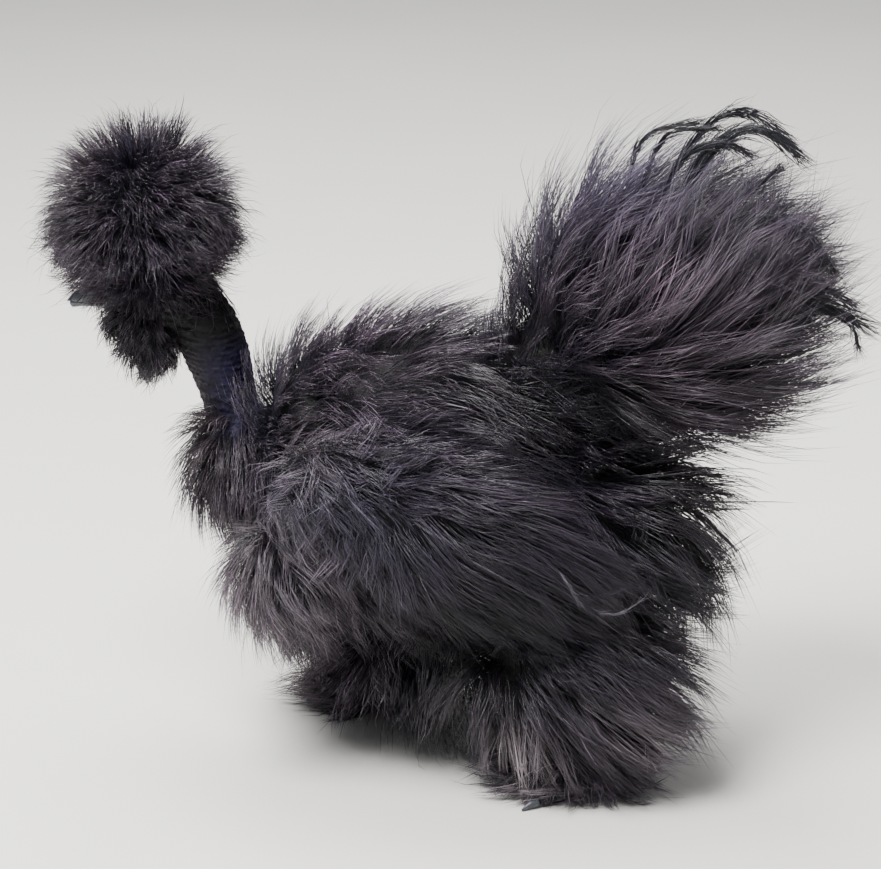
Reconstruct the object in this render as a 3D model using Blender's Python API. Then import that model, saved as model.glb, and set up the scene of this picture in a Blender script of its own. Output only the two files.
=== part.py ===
"""A black naked-neck silkie of bantam size, standing with one foot forward, at life size.

The bird faces -Y, its left side is +X and +Z is up. The origin is on the floor, under the middle of
the bird's box. Sizes are written in millimetres and turned to metres by MM.
Each soft node has a shape that its tips reach. Nodes that meet are parted by a gap of GAP.
"""

import math
import random

import bmesh
import bpy
from mathutils import Matrix, Vector

MM = 0.001
GAP = 0.3 * MM
FLOOR_CLEARANCE = 1.0 * MM
# A coat is held to its outer shape, and its neighbours keep out of that grown by this.
HOLD = 1.0 * MM
# Locks start and end this far from a neighbour's room.
ROOM_MARGIN = 2.0 * MM
# Cutting boxes reach this far, beyond any part of the bird.
FAR = 1.0
# A point beside the middle of an edge of a face pair: shares of the edge's ends, near and far corners
BESIDE_EDGE = (0.4, 0.16, 0.04)

# The whole model is moved by this, so that the origin is under the middle of its box.
BOX_SHIFT = Vector((0.0, -9.0, 0.0)) * MM

# Head
SKULL = ((0, -131, 228), (13.5, 20, 15.5))
VAULT = ((0, -130, 240), (11, 13, 11))
FACE = ((0, -146, 224), (8.8, 8, 8.5))
EYE_CENTRE = (10.4, -139, 230)
EYE_RADIUS = 5.0
LID_THICKNESS = 1.1
LID_RING_INSET = 0.6
LID_RING_OUT = 2.4
EARLOBE = ((12.5, -122, 220), (2.4, 4.5, 5.5))
COMB_MIDDLE = ((0, -149, 234.5), (5.0, 5.5, 4.0))
COMB_BULBS = (((3.4, -151.5, 233.5), (2.8, 2.8, 2.8)), ((3.4, -146, 236.5), (3.2, 3.2, 3.2)))

# Beak: a tapered tube that droops a little, parted by the line of the mouth
BEAK_STATIONS = (
    ((0, -143, 225), 6.8),
    ((0, -155, 224.5), 5.6),
    ((0, -165, 222.5), 3.9),
    ((0, -172.5, 219.5), 1.6),
)
BEAK_WIDTH_SHARE = 0.8
MOUTH_Z = 221.5
MOUTH_GAPE = 0.7
# The mouth's line in the face: its half width, and from where to where it runs
MOUTH_HALF_WIDTH = 20
MOUTH_RUN_Y = (-170, -148)
LOWER_BEAK_END_Y = -170.5
NOSTRIL = ((4.4, -156, 226), (1.6, 2.0, 0.9))

# Neck, bare of feathers
NECK_STATIONS = (
    ((0, -119, 231), 13.0),
    ((0, -107.5, 214), 15.2),
    ((0, -101, 198), 15.0),
    ((0, -97, 184), 13.6),
    ((0, -94, 170), 12.6),
    ((0, -91, 150), 13.0),
)

# Outer shapes of the coat, which its tips reach: centre and half sizes
CREST_TIPS = ((0, -136, 268), (48, 49, 52))
BEARD_TIPS = ((0, -134, 202), (20, 18, 18))
CROP_TIPS = ((0, -93, 145), (35, 29, 38))
CAPE_TIPS = ((0, -56, 170), (60, 42, 50))
BREAST_TIPS = ((0, -54, 96), (66, 49, 50))
TORSO_TIPS = ((0, -4, 138), (80, 98, 96))
REAR_TIPS = ((0, 88, 120), (60, 58, 62))
TAIL_TIPS = ((0, 113, 230), (76, 87, 83))
WING_TIPS = ((69, 14, 139), (20, 92, 46))
WING_PITCH = -20.0
LEG_TIPS = ((44, 0, 51), (34, 64, 50))

# Cores that the locks are rooted on, at most half way from the flesh to the tips
CREST_CORE = ((0, -134, 262), (27, 29, 25))
BEARD_CORE = ((0, -131, 205), (12, 11, 11))
CROP_CORE = ((0, -90, 147), (23, 19, 27))
CAPE_CORE = ((0, -50, 164), (44, 27, 32))
BREAST_CORE = ((0, -50, 100), (48, 35, 36))
TORSO_CORE = ((0, -4, 142), (60, 77, 70))
REAR_CORE = ((0, 74, 128), (40, 38, 38))
TAIL_CORE = ((0, 96, 218), (38, 46, 36))
TAIL_ROOT = ((0, 64, 190), (32, 36, 34))
WING_CORE = ((65, 8, 141), (13, 70, 34))
LEG_CORE = ((42, 2, 62), (19, 40, 37))

# Locks of each tract: number set evenly over the core, length along the lie, width, thickness, seed
CREST_LOCKS = (48, 15, 22, 8.0, 11)
BEARD_LOCKS = (14, 8, 13, 3.5, 12)
CAPE_LOCKS = (28, 26, 24, 6.0, 19)
CROP_LOCKS = (19, 22, 21, 5.5, 13)
BREAST_LOCKS = (32, 32, 26, 6.0, 14)
TORSO_LOCKS = (62, 42, 33, 8.0, 15)
REAR_LOCKS = (30, 36, 27, 6.0, 16)
TAIL_LOCKS = (50, 14, 39, 9.0, 17)
TAIL_ROOT_LOCKS = (20, 30, 27, 6.0, 20)
LEG_LOCKS = (28, 26, 27, 7.0, 18)
LOCK_SINK = 5.0
LOCK_RINGS = (0.38, 0.7)
FEATHER_RINGS = (0.35, 0.62, 0.86)
LOCK_LIFT = 0.5
LOCK_BEND_AT = 0.4
LOCK_VARIATION = (0.85, 1.15)
LOCK_STRAY = 0.2
# A lock that would enter a room is tried again with these shares of its run.
LOCK_SHORTENINGS = (1.0, 0.6, 0.25)
LOCK_CHECKED_AT = (0.5, 0.7, 0.85, 1.0)
# How far short of the outer shape the shortest tips end
TIP_SHARE = 0.9

# Wing vanes in tiers, from the lowest: height on the wing, number, length, width, thickness
WING_TIERS = ((-0.35, 8, 62, 23, 2.2), (0.05, 7, 42, 23, 2.2), (0.38, 5, 34, 25, 2.2), (0.68, 3, 28, 22, 2.2))
WING_REACH = (-0.78, 0.62)
WING_RISE = 0.12
WING_TIP_SHARE = 0.93
# Slope of the vanes below level at the shoulder and at the tip, and their share of the full length
WING_DROOP = (62, 22)
WING_LENGTH = (0.72, 1.22)
VANE_SINK = 4
VANE_BOW = 3

# Hard curved feathers at the rim of the tail: root, bend, tip, width
TAIL_FEATHERS = (
    ((9, 104, 243), (16, 138, 336), (24, 164, 298), 11),
    ((-9, 98, 245), (-20, 118, 334), (-26, 148, 306), 11),
    ((13, 114, 236), (24, 168, 284), (30, 177, 243), 11),
    ((9, 122, 226), (18, 176, 248), (22, 199, 222), 14),
    ((-9, 122, 230), (-16, 172, 258), (-20, 192, 230), 12),
)
FEATHER_THICKNESS = 1.8

# Where the coat fans out from: the whorl on the left shoulder, and the root of the tail
WHORL = (30, -84, 125)
TAIL_FAN = (0, 48, 196)

# Feet: where the toes meet the shank, and where the leg's coat is centred behind that
LEFT_FOOT = (42, 82)
RIGHT_FOOT = (-40, -22)
HOCK_BEHIND = 26
HOCK_HEIGHT = 62
SHANK_FOOT_HEIGHT = 9
SHANK_RADIUS = 4.6
# How much thicker the shank is at the foot and at the hock, and a toe at its root and at its tip
SHANK_SWELL = (0.6, 1.4)
TOE_SWELL = (0.4, -0.5)
FOOT_PAD = ((0, 0, 6), (8, 8, 6.5))
LEG_COAT_BEHIND = -12
# Each toe: heading from straight ahead in degrees, reach, height of its tip, radius
TOES = (
    ("middle", 0, 38, 3.2, 3.9),
    ("inner", 34, 29, 3.0, 3.5),
    ("outer", -36, 30, 3.0, 3.5),
    ("hind", 172, 17, 3.0, 3.3),
    ("extra", 140, 20, 17.0, 2.8),
)
CLAW_LENGTH = 8.5
CLAW_GAP = 0.3
# How much thinner than its toe a claw is at its root and at its middle, and the radius of its point
CLAW_THINNING = (0.9, 1.7)
CLAW_MIDDLE = 0.45
CLAW_POINT = 0.5
CLAW_DROOP = 3.0
CLAW_POINT_HEIGHT = 1.6
TOE_ROOT_HEIGHT = 6.0
FEET = (("left", LEFT_FOOT, 1), ("right", RIGHT_FOOT, -1))


class Egg:
    """An ellipsoid: centre and half sizes in millimetres, pitched about X by some degrees."""

    def __init__(self, shape, pitch=0.0, detail=3):
        centre, half_sizes = shape
        self.detail = detail
        self.centre = Vector(centre) * MM
        self.half = Vector(half_sizes) * MM
        self.turn = Matrix.Rotation(math.radians(pitch), 3, "X")

    def point(self, unit, grow=0.0):
        """The point of the surface in a direction, pushed out by grow."""
        scaled = Vector([unit[axis] * (self.half[axis] + grow) for axis in range(3)])
        return self.centre + self.turn @ scaled

    def unit_at(self, point):
        """The unit direction whose ray from the centre passes through a point."""
        local = self.turn.transposed() @ (point - self.centre)
        return Vector([local[axis] / self.half[axis] for axis in range(3)]).normalized()

    def normal(self, unit):
        """The outward normal of the surface in a direction."""
        return (self.turn @ Vector([unit[axis] / self.half[axis] for axis in range(3)])).normalized()

    def holds(self, point, margin=0.0):
        local = self.turn.transposed() @ (point - self.centre)
        return sum((local[axis] / (self.half[axis] + margin)) ** 2 for axis in range(3)) < 1.0

    def solid(self, name, detail=None, grow=0.0):
        """A closed mesh object of this shape."""
        shape = bmesh.new()
        bmesh.ops.create_icosphere(shape, subdivisions=detail or self.detail, radius=1.0)
        for vert in shape.verts:
            vert.co = self.point(vert.co.normalized(), grow)
        return mesh_object(name, shape)


class Pipe:
    """The room that a smooth tube takes, as a row of balls."""

    def __init__(self, stations):
        self.balls = smooth_stations(stations, 4)

    def holds(self, point, margin=0.0):
        return any((point - centre).length < radius + margin for centre, radius in self.balls)


def mirrored(shape):
    """The same shape on the bird's other side."""
    (x, y, z), half_sizes = shape
    return (-x, y, z), half_sizes


def clear_scene():
    for obj in list(bpy.data.objects):
        bpy.data.objects.remove(obj)


def collection_named(name):
    made = bpy.data.collections.new(name)
    bpy.context.scene.collection.children.link(made)
    return made


def mesh_object(name, shape):
    """An object of a bmesh, in the workshop collection."""
    mesh = bpy.data.meshes.new(name)
    shape.to_mesh(mesh)
    shape.free()
    obj = bpy.data.objects.new(name, mesh)
    bpy.data.collections["Workshop"].objects.link(obj)
    return obj


def box_solid(name, low, high):
    """A closed box between two corners in metres."""
    shape = bmesh.new()
    bmesh.ops.create_cube(shape, size=1.0)
    low, high = Vector(low), Vector(high)
    for vert in shape.verts:
        vert.co = Vector([low[axis] + (vert.co[axis] + 0.5) * (high[axis] - low[axis]) for axis in range(3)])
    return mesh_object(name, shape)


def smooth_stations(stations, steps):
    """Stations of centre and radius in millimetres, read from a smooth curve through the given ones."""
    ends = [stations[0], *stations, stations[-1]]
    found = []
    for before, start, end, after in zip(ends, ends[1:], ends[2:], ends[3:]):
        for step in range(steps):
            t = step / steps
            rows = [Vector((*centre, radius)) for centre, radius in (before, start, end, after)]
            bend = 2 * rows[1] + (rows[2] - rows[0]) * t
            bend += (2 * rows[0] - 5 * rows[1] + 4 * rows[2] - rows[3]) * t * t
            bend += (3 * rows[1] - rows[0] - 3 * rows[2] + rows[3]) * t * t * t
            found.append(0.5 * bend)
    found.append(Vector((*stations[-1][0], stations[-1][1])))
    return [(Vector(row[:3]) * MM, row[3] * MM) for row in found]


def tube_solid(name, stations, steps=2, sides=10, grow=0.0):
    """A closed tube of changing radius, made as a curve and turned to a mesh."""
    curve = bpy.data.curves.new(name, "CURVE")
    curve.dimensions = "3D"
    curve.bevel_depth = 1.0
    curve.bevel_resolution = sides // 2 - 2
    curve.use_fill_caps = True
    spline = curve.splines.new("POLY")
    placed = smooth_stations(stations, steps)
    spline.points.add(len(placed) - 1)
    for point, (centre, radius) in zip(spline.points, placed):
        point.co = (*centre, 1.0)
        point.radius = radius + grow
    guide = bpy.data.objects.new(name, curve)
    bpy.data.collections["Workshop"].objects.link(guide)
    graph = bpy.context.evaluated_depsgraph_get()
    mesh = bpy.data.meshes.new_from_object(guide.evaluated_get(graph))
    bpy.data.objects.remove(guide)
    shape = bmesh.new()
    shape.from_mesh(mesh)
    bmesh.ops.remove_doubles(shape, verts=shape.verts, dist=1e-6)
    bmesh.ops.recalc_face_normals(shape, faces=shape.faces)
    return mesh_object(name, shape)


def apply_modifiers(obj):
    graph = bpy.context.evaluated_depsgraph_get()
    mesh = bpy.data.meshes.new_from_object(obj.evaluated_get(graph))
    obj.modifiers.clear()
    obj.data = mesh


def triangulate(shape):
    """Splits every face into triangles, with no edge that more than two of them share.

    A diagonal that falls on another edge is given up for a point beside its middle.
    """
    source = shape.faces.layers.int.new("source")
    for index, face in enumerate(shape.faces):
        face[source] = index
    bmesh.ops.triangulate(shape, faces=shape.faces, quad_method="FIXED", ngon_method="EAR_CLIP")
    for edge in [edge for edge in shape.edges if len(edge.link_faces) > 2]:
        groups = {}
        for face in edge.link_faces:
            groups.setdefault(face[source], []).append(face)
        pairs = [faces for faces in groups.values() if len(faces) == 2]
        for pair in pairs[: len(edge.link_faces) // 2 - 1]:
            ends = sum((vert.co for vert in edge.verts), Vector())
            near, far = [next(vert.co for vert in face.verts if vert not in edge.verts) for face in pair]
            shares = zip((ends, near, far), BESIDE_EDGE)
            point = shape.verts.new(sum((place * share for place, share in shares), Vector()))
            for loop in [loop for face in pair for loop in face.loops if loop.edge is not edge]:
                shape.faces.new((loop.vert, loop.link_loop_next.vert, point))
            bmesh.ops.delete(shape, geom=pair, context="FACES_ONLY")


def islands(shape):
    """The faces of each surface that whole edges join, with two faces to an edge."""
    unseen = set(shape.faces)
    found = []
    while unseen:
        grown = {unseen.pop()}
        rim = list(grown)
        while rim:
            face = rim.pop()
            sides = [side for side in face.edges if len(side.link_faces) == 2]
            for near in (other for side in sides for other in side.link_faces):
                if near in unseen:
                    unseen.remove(near)
                    grown.add(near)
                    rim.append(near)
        found.append(grown)
    return found


def signed_volume(faces):
    return sum(f.verts[0].co.dot(f.verts[1].co.cross(f.verts[2].co)) for f in faces) / 6


def keep_largest(obj):
    """Leaves only the closed surface that holds the most."""
    shape = bmesh.new()
    shape.from_mesh(obj.data)
    triangulate(shape)
    kept = max(islands(shape), key=signed_volume)
    loose = [face for face in shape.faces if face not in kept]
    bmesh.ops.delete(shape, geom=loose, context="FACES")
    shape.to_mesh(obj.data)
    shape.free()


def boolean(obj, tool, operation):
    """Applies one Boolean of obj with an object or a collection."""
    modifier = obj.modifiers.new("Boolean", "BOOLEAN")
    modifier.operation = operation
    modifier.solver = "EXACT"
    if isinstance(tool, bpy.types.Collection):
        modifier.operand_type = "COLLECTION"
        modifier.collection = tool
    else:
        modifier.object = tool
    apply_modifiers(obj)


def fuse(name, pieces):
    """One object from closed pieces that overlap."""
    base, *others = pieces
    base.name = name
    if others:
        gathered = collection_named("Joined")
        for piece in others:
            gathered.objects.link(piece)
            bpy.data.collections["Workshop"].objects.unlink(piece)
        boolean(base, gathered, "UNION")
        for piece in others:
            bpy.data.objects.remove(piece)
        bpy.data.collections.remove(gathered)
    return base


def carve(obj, tools):
    """Takes closed tools away from obj, and the tools are then removed."""
    for tool in tools:
        boolean(obj, tool, "DIFFERENCE")
        bpy.data.objects.remove(tool)
    return obj


def keep_inside(obj, tool):
    """Leaves what is inside a closed tool, which is then removed."""
    boolean(obj, tool, "INTERSECT")
    bpy.data.objects.remove(tool)
    return obj


def floor_cut():
    """All that lies under the floor."""
    return box_solid("floor_cut", (-FAR, -FAR, -FAR), (FAR, FAR, 0))


def under_coat_cut():
    """All that lies lower than the coat may hang."""
    return box_solid("coat_cut", (-FAR, -FAR, -FAR), (FAR, FAR, FLOOR_CLEARANCE))


def eye_egg(side, grow=0.0):
    x, y, z = EYE_CENTRE
    radius = EYE_RADIUS + grow / MM
    return Egg(((side * x, y, z), (radius, radius, radius)), detail=2)


def beak_solid(name, grow=0.0):
    """The whole beak, both halves, narrowed across."""
    whole = tube_solid(name, BEAK_STATIONS, steps=2, sides=10, grow=grow)
    for vert in whole.data.vertices:
        vert.co.x *= BEAK_WIDTH_SHARE
    return whole


def head_solid(name, grow=0.0):
    """The skull with its vault, cheeks, lids and earlobes, without sockets."""
    pieces = [
        Egg(SKULL).solid(name, grow=grow),
        Egg(VAULT).solid("vault", detail=2, grow=grow),
        Egg(FACE).solid("face", detail=2, grow=grow),
    ]
    for side in (-1, 1):
        pieces.append(lid_ring(side, grow))
        lobe = EARLOBE if side > 0 else mirrored(EARLOBE)
        pieces.append(Egg(lobe).solid("earlobe", detail=2, grow=grow))
    return fuse(name, pieces)


def lid_ring(side, grow=0.0):
    """The rim of both lids, a ring round the eye."""
    bpy.ops.mesh.primitive_torus_add(
        major_segments=10,
        minor_segments=4,
        major_radius=(EYE_RADIUS - LID_RING_INSET) * MM,
        minor_radius=LID_THICKNESS * MM + grow,
    )
    ring = bpy.context.object
    ring.name = "lids"
    centre = Vector(EYE_CENTRE) * MM
    centre.x = side * (centre.x + LID_RING_OUT * MM)
    ring.data.transform(Matrix.Translation(centre) @ Matrix.Rotation(math.radians(90), 4, "Y"))
    for owner in ring.users_collection:
        owner.objects.unlink(ring)
    bpy.data.collections["Workshop"].objects.link(ring)
    return ring


def make_head():
    head = head_solid("head")
    carve(head, [beak_solid("beak_room", GAP), neck_solid("neck_room", GAP)])
    carve(head, [eye_egg(side, GAP).solid("socket") for side in (-1, 1)])
    start, end = MOUTH_RUN_Y
    low = Vector((-MOUTH_HALF_WIDTH, start, MOUTH_Z - MOUTH_GAPE / 2)) * MM
    high = Vector((MOUTH_HALF_WIDTH, end, MOUTH_Z + MOUTH_GAPE / 2)) * MM
    return carve(head, [box_solid("gape", low, high)])


def make_eye(side):
    return eye_egg(side).solid("eye_left" if side > 0 else "eye_right")


def make_upper_beak():
    beak = beak_solid("beak_upper")
    below = (MOUTH_Z + MOUTH_GAPE / 2) * MM
    carve(beak, [box_solid("below_mouth", (-FAR, -FAR, -FAR), (FAR, FAR, below))])
    nostrils = [Egg(shape).solid("nostril", detail=1) for shape in (NOSTRIL, mirrored(NOSTRIL))]
    return carve(beak, nostrils)


def make_lower_beak():
    beak = beak_solid("beak_lower")
    above = (MOUTH_Z - MOUTH_GAPE / 2) * MM
    tip = LOWER_BEAK_END_Y * MM
    carve(beak, [box_solid("above_mouth", (-FAR, -FAR, above), (FAR, FAR, FAR))])
    return carve(beak, [box_solid("hook_room", (-FAR, -FAR, -FAR), (FAR, tip, FAR))])


def comb_bulbs(name, grow=0.0):
    """A low walnut comb on the forehead: a row of bulbs on each side of a middle one."""
    pieces = [Egg(COMB_MIDDLE).solid(name, detail=2, grow=grow)]
    for bulb in COMB_BULBS:
        for shape in (mirrored(bulb), bulb):
            pieces.append(Egg(shape).solid("bulb", detail=1, grow=grow))
    return fuse(name, pieces)


def make_comb():
    return carve(comb_bulbs("comb"), [head_solid("head_room", GAP), beak_solid("beak_room", GAP)])


def neck_solid(name, grow=0.0):
    return tube_solid(name, NECK_STATIONS, steps=2, sides=10, grow=grow)


def make_neck():
    return neck_solid("neck")


def toe_line(foot, side, toe):
    """Where a toe starts and ends, and its direction, for the left or the right foot."""
    heading, reach, height = toe[1:4]
    angle = math.radians(heading * side)
    start = Vector((foot[0], foot[1], TOE_ROOT_HEIGHT))
    tip = Vector((foot[0] - math.sin(angle) * reach, foot[1] - math.cos(angle) * reach, height))
    return start, tip, (tip - start).normalized()


def foot_solid(name, foot, side, grow=0.0):
    """Shank, pad and toes before their soles are cut flat."""
    x, y = foot
    shank = (
        ((x, y, SHANK_FOOT_HEIGHT), SHANK_RADIUS + SHANK_SWELL[0]),
        ((x, y + HOCK_BEHIND / 2, HOCK_HEIGHT / 2), SHANK_RADIUS),
        ((x, y + HOCK_BEHIND, HOCK_HEIGHT), SHANK_RADIUS + SHANK_SWELL[1]),
    )
    centre, half_sizes = FOOT_PAD
    pieces = [
        tube_solid(name, shank, steps=1, sides=6, grow=grow),
        Egg(((x + centre[0], y + centre[1], centre[2]), half_sizes)).solid("pad", detail=1, grow=grow),
    ]
    for toe in TOES:
        start, tip, _ = toe_line(foot, side, toe)
        radius = toe[4]
        stations = (
            (tuple(start), radius + TOE_SWELL[0]),
            (tuple((start + tip) / 2), radius),
            (tuple(tip), radius + TOE_SWELL[1]),
        )
        pieces.append(tube_solid("toe", stations, steps=1, sides=6, grow=grow))
    return fuse(name, pieces)


def claw_solid(name, foot, side, toe, grow=0.0):
    """One claw, a cone that starts a gap ahead of its toe and curves down."""
    _, tip, ahead = toe_line(foot, side, toe)
    radius = toe[4]
    droop = min(tip.z - CLAW_POINT_HEIGHT, CLAW_DROOP)
    stations = (
        (tuple(tip + ahead * CLAW_GAP), radius - CLAW_THINNING[0]),
        (tuple(tip + ahead * CLAW_LENGTH * CLAW_MIDDLE), radius - CLAW_THINNING[1]),
        (tuple(tip + ahead * CLAW_LENGTH + Vector((0, 0, -droop))), CLAW_POINT),
    )
    return tube_solid(name, stations, steps=1, sides=6, grow=grow)


def make_foot(label, foot, side):
    return carve(foot_solid(f"foot_{label}", foot, side), [floor_cut()])


def make_claw(label, foot, side, toe):
    made = claw_solid(f"claw_{label}_{toe[0]}", foot, side, toe)
    return carve(made, [floor_cut()])


class Lock:
    """A flat tapered lock or vane that runs from its root to its tip and bends on the way.

    The root, the bend and the tip are the points of a quadratic curve. The side is a unit vector across it.
    """

    def __init__(self, root, bend, tip, side, width, thickness):
        self.points = (root, bend, tip)
        self.side = side.normalized()
        self.width = width
        self.thickness = thickness

    def along(self, share):
        root, bend, tip = self.points
        return root * (1 - share) ** 2 + bend * 2 * share * (1 - share) + tip * share**2

    def heading(self, share):
        root, bend, tip = self.points
        return ((bend - root) * (1 - share) + (tip - bend) * share).normalized()

    def broadness(self, share):
        """The share of the full width: a narrow root, broadest before the middle, and a taper to the tip."""
        return min(0.45 + 1.3 * share, 1.4 - share) if share < 1.0 else 0.0

    def solid(self, template, hold=None):
        """A closed mesh object, bent from a straight template of unit length and pressed inside a hold."""
        shape = template.copy()
        for vert in shape.verts:
            share = vert.co.z
            full = 1.0 - share
            across = vert.co.x / full if full > 0 else 0.0
            over = vert.co.y / full if full > 0 else 0.0
            heading = self.heading(share)
            above = self.side.cross(heading).normalized()
            flat = heading.cross(above).normalized()
            size = self.broadness(share)
            vert.co = self.along(share) + flat * (across * size * self.width / 2)
            vert.co += above * (over * size * self.thickness / 2)
            if hold and not hold.holds(vert.co):
                vert.co = hold.point(hold.unit_at(vert.co))
        return mesh_object("lock", shape)


def template_cone(sides, rings):
    """A closed cone from a base at 0 to a point at 1, ringed at the given heights."""
    shape = bmesh.new()
    bmesh.ops.create_cone(shape, cap_ends=True, segments=sides, radius1=1.0, radius2=0.0, depth=1.0)
    bmesh.ops.translate(shape, verts=shape.verts, vec=(0.0, 0.0, 0.5))
    for height in rings:
        everything = shape.verts[:] + shape.edges[:] + shape.faces[:]
        bmesh.ops.bisect_plane(shape, geom=everything, plane_co=(0, 0, height), plane_no=(0, 0, 1))
    bmesh.ops.triangulate(shape, faces=shape.faces)
    return shape


def even_directions(count):
    """Unit vectors spread evenly on every side."""
    golden_angle = math.pi * (3 - math.sqrt(5))
    for index in range(count):
        height = 1 - (2 * index + 1) / count
        ring = math.sqrt(1 - height * height)
        yield Vector((ring * math.cos(golden_angle * index), ring * math.sin(golden_angle * index), height))


def tract_locks(core, tips, sizes, lie, rooms):
    """Locks rooted all over a core, which reach the outer shape along their lie and keep out of rooms.

    The lie is a function that gives the direction in which the coat lies at a point, with its length
    as the share of the full run. A lock that would enter a room is shortened, and left out where that
    is not enough.
    """
    count, length, width, thickness, seed = sizes
    draw = random.Random(seed)
    made = []
    for unit in even_directions(count):
        normal = core.normal(unit)
        root = core.point(unit)
        flow = lie(root)
        reach = length * MM * flow.length * draw.uniform(*LOCK_VARIATION)
        flow += LOCK_STRAY * flow.length * Vector([draw.uniform(-1, 1) for axis in range(3)])
        flow = (flow - normal * flow.dot(normal)).normalized()
        share = draw.uniform(TIP_SHARE, 1.0)
        girth = draw.uniform(*LOCK_VARIATION)
        if any(room.holds(root, -ROOM_MARGIN) for room in rooms):
            continue
        for shortening in LOCK_SHORTENINGS:
            run = flow * (reach * shortening)
            tip = tips.centre + (tips.point(tips.unit_at(root + run)) - tips.centre) * share
            lift = (tip - root).dot(normal) * LOCK_LIFT
            bend = root.lerp(tip, LOCK_BEND_AT) + normal * lift
            lock = Lock(
                root - normal * LOCK_SINK * MM,
                bend,
                tip,
                flow.cross(normal),
                width * MM * girth,
                thickness * MM,
            )
            path = [lock.along(step) for step in LOCK_CHECKED_AT]
            if not any(room.holds(point, ROOM_MARGIN) for room in rooms for point in path):
                made.append(lock)
                break
    return made


def wing_vanes(core, tips, side):
    """The wing's feathers in overlapping tiers, the lowest made first, each as long as the wing is there."""
    made = []
    start, end = WING_REACH
    for height, count, length, width, thickness in WING_TIERS:
        for index in range(count):
            share = index / (count - 1)
            place = (start + (end - start) * share) * math.sqrt(1 - height * height)
            unit = Vector((0.0, place, height + WING_RISE * share))
            unit.x = side * math.sqrt(max(1 - unit.length_squared, 0.05))
            unit.normalize()
            root = core.point(unit)
            normal = core.normal(unit)
            droop = math.radians(WING_DROOP[0] + (WING_DROOP[1] - WING_DROOP[0]) * share)
            flow = Vector((0.0, math.cos(droop), -math.sin(droop)))
            flow = (flow - normal * flow.dot(normal)).normalized()
            reach = length * MM * (WING_LENGTH[0] + (WING_LENGTH[1] - WING_LENGTH[0]) * share)
            tip = tips.centre + (tips.point(tips.unit_at(root + flow * reach)) - tips.centre) * WING_TIP_SHARE
            bend = root.lerp(tip, 0.5) + normal * VANE_BOW * MM
            start_point = root - normal * VANE_SINK * MM
            made.append(Lock(start_point, bend, tip, flow.cross(normal), width * MM, thickness * MM))
    return made


def tail_feathers():
    """The hard feathers at the rim of the tail, broad from the side, which arch over and back."""
    made = []
    across = Vector((1.0, 0.0, 0.0))
    for root, bend, tip, width in TAIL_FEATHERS:
        points = [Vector(point) * MM for point in (root, bend, tip)]
        side = (points[2] - points[0]).cross(across)
        made.append(Lock(*points, side, width * MM, FEATHER_THICKNESS * MM))
    return made


def crest_lie(point):
    """A ball of locks: they stand straight up on the crown and spread out and down towards its rim."""
    spread = Vector((point.x, point.y - CREST_CORE[0][1] * MM, 0.0)) / (CREST_CORE[1][0] * MM)
    return spread + Vector((0, 0, -0.8)) * spread.length


def beard_lie(point):
    return Vector((0, -0.3, -1.0))


def crop_lie(point):
    """Down from the bare neck."""
    return Vector((0, -0.25, -1.0))


def breast_lie(point):
    """A fan that opens from a whorl on the shoulder down and back."""
    x, y, z = WHORL
    whorl = Vector((math.copysign(x, point.x), y, z)) * MM
    return ((point - whorl).normalized() + Vector((0, 0.25, -0.5))).normalized()


def torso_lie(point):
    """Back along the spine, and falling on the flanks."""
    low = max(0.0, (TORSO_CORE[0][2] * MM - point.z) / (60 * MM))
    return Vector((0, 1.0, -0.35 - 0.8 * low)).normalized()


def cape_lie(point):
    """Up and back where the bare neck leaves the body."""
    return Vector((0, 0.8, 0.5))


def rear_lie(point):
    return Vector((0, 0.7, -1.0)).normalized()


def tail_lie(point):
    """A fan from the root of the tail, up at its front and back at its rear."""
    return ((point - Vector(TAIL_FAN) * MM).normalized() + Vector((0, 0.1, 0.15))).normalized()


def leg_lie(point):
    return Vector((math.copysign(0.25, point.x), 0.3, -1.0)).normalized()


def leg_shape(foot, shape, detail=3):
    """A shape of the leg's coat, set from its foot and its side."""
    (x, y, z), half_sizes = shape
    side = 1 if foot[0] > 0 else -1
    return Egg(((side * x, foot[1] + LEG_COAT_BEHIND + y, z), half_sizes), detail=detail)


def wing_shape(side, shape, detail=3):
    return Egg(shape if side > 0 else mirrored(shape), WING_PITCH, detail)


def bare_parts(*names):
    """Room for the bare parts: each a closed solid that is GAP larger all round."""
    makers = {
        "head": lambda: head_solid("head_room", GAP),
        "beak": lambda: beak_solid("beak_room", GAP),
        "comb": lambda: comb_bulbs("comb_room", GAP),
        "neck": lambda: neck_solid("neck_room", GAP),
    }
    rooms = [makers[name]() for name in names]
    if "head" in names:
        rooms += [eye_egg(side, GAP).solid("eye_room") for side in (-1, 1)]
    return rooms


def foot_rooms(foot, side):
    rooms = [foot_solid("foot_room", foot, side, GAP)]
    rooms += [claw_solid("claw_room", foot, side, toe, GAP) for toe in TOES]
    return rooms


def coat_room(*eggs):
    """Room for neighbouring coats, grown by the hold and the gap over what they are held to."""
    return [egg.solid("coat_room", grow=HOLD + GAP) for egg in eggs]


def lock_solids(locks, template, hold=None):
    return [lock.solid(template, hold) for lock in locks]


def finish(obj, material):
    keep_largest(obj)
    obj.data.materials.clear()
    obj.data.materials.append(material)
    obj.data.transform(Matrix.Translation(BOX_SHIFT))
    bpy.data.collections["Workshop"].objects.unlink(obj)
    bpy.data.collections["Silkie"].objects.link(obj)
    return obj


def surface(name, colour, roughness):
    made = bpy.data.materials.new(name)
    made.use_nodes = True
    shader = made.node_tree.nodes["Principled BSDF"]
    shader.inputs["Base Color"].default_value = (*colour, 1.0)
    shader.inputs["Roughness"].default_value = roughness
    shader.inputs["Metallic"].default_value = 0.0
    return made


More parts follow.
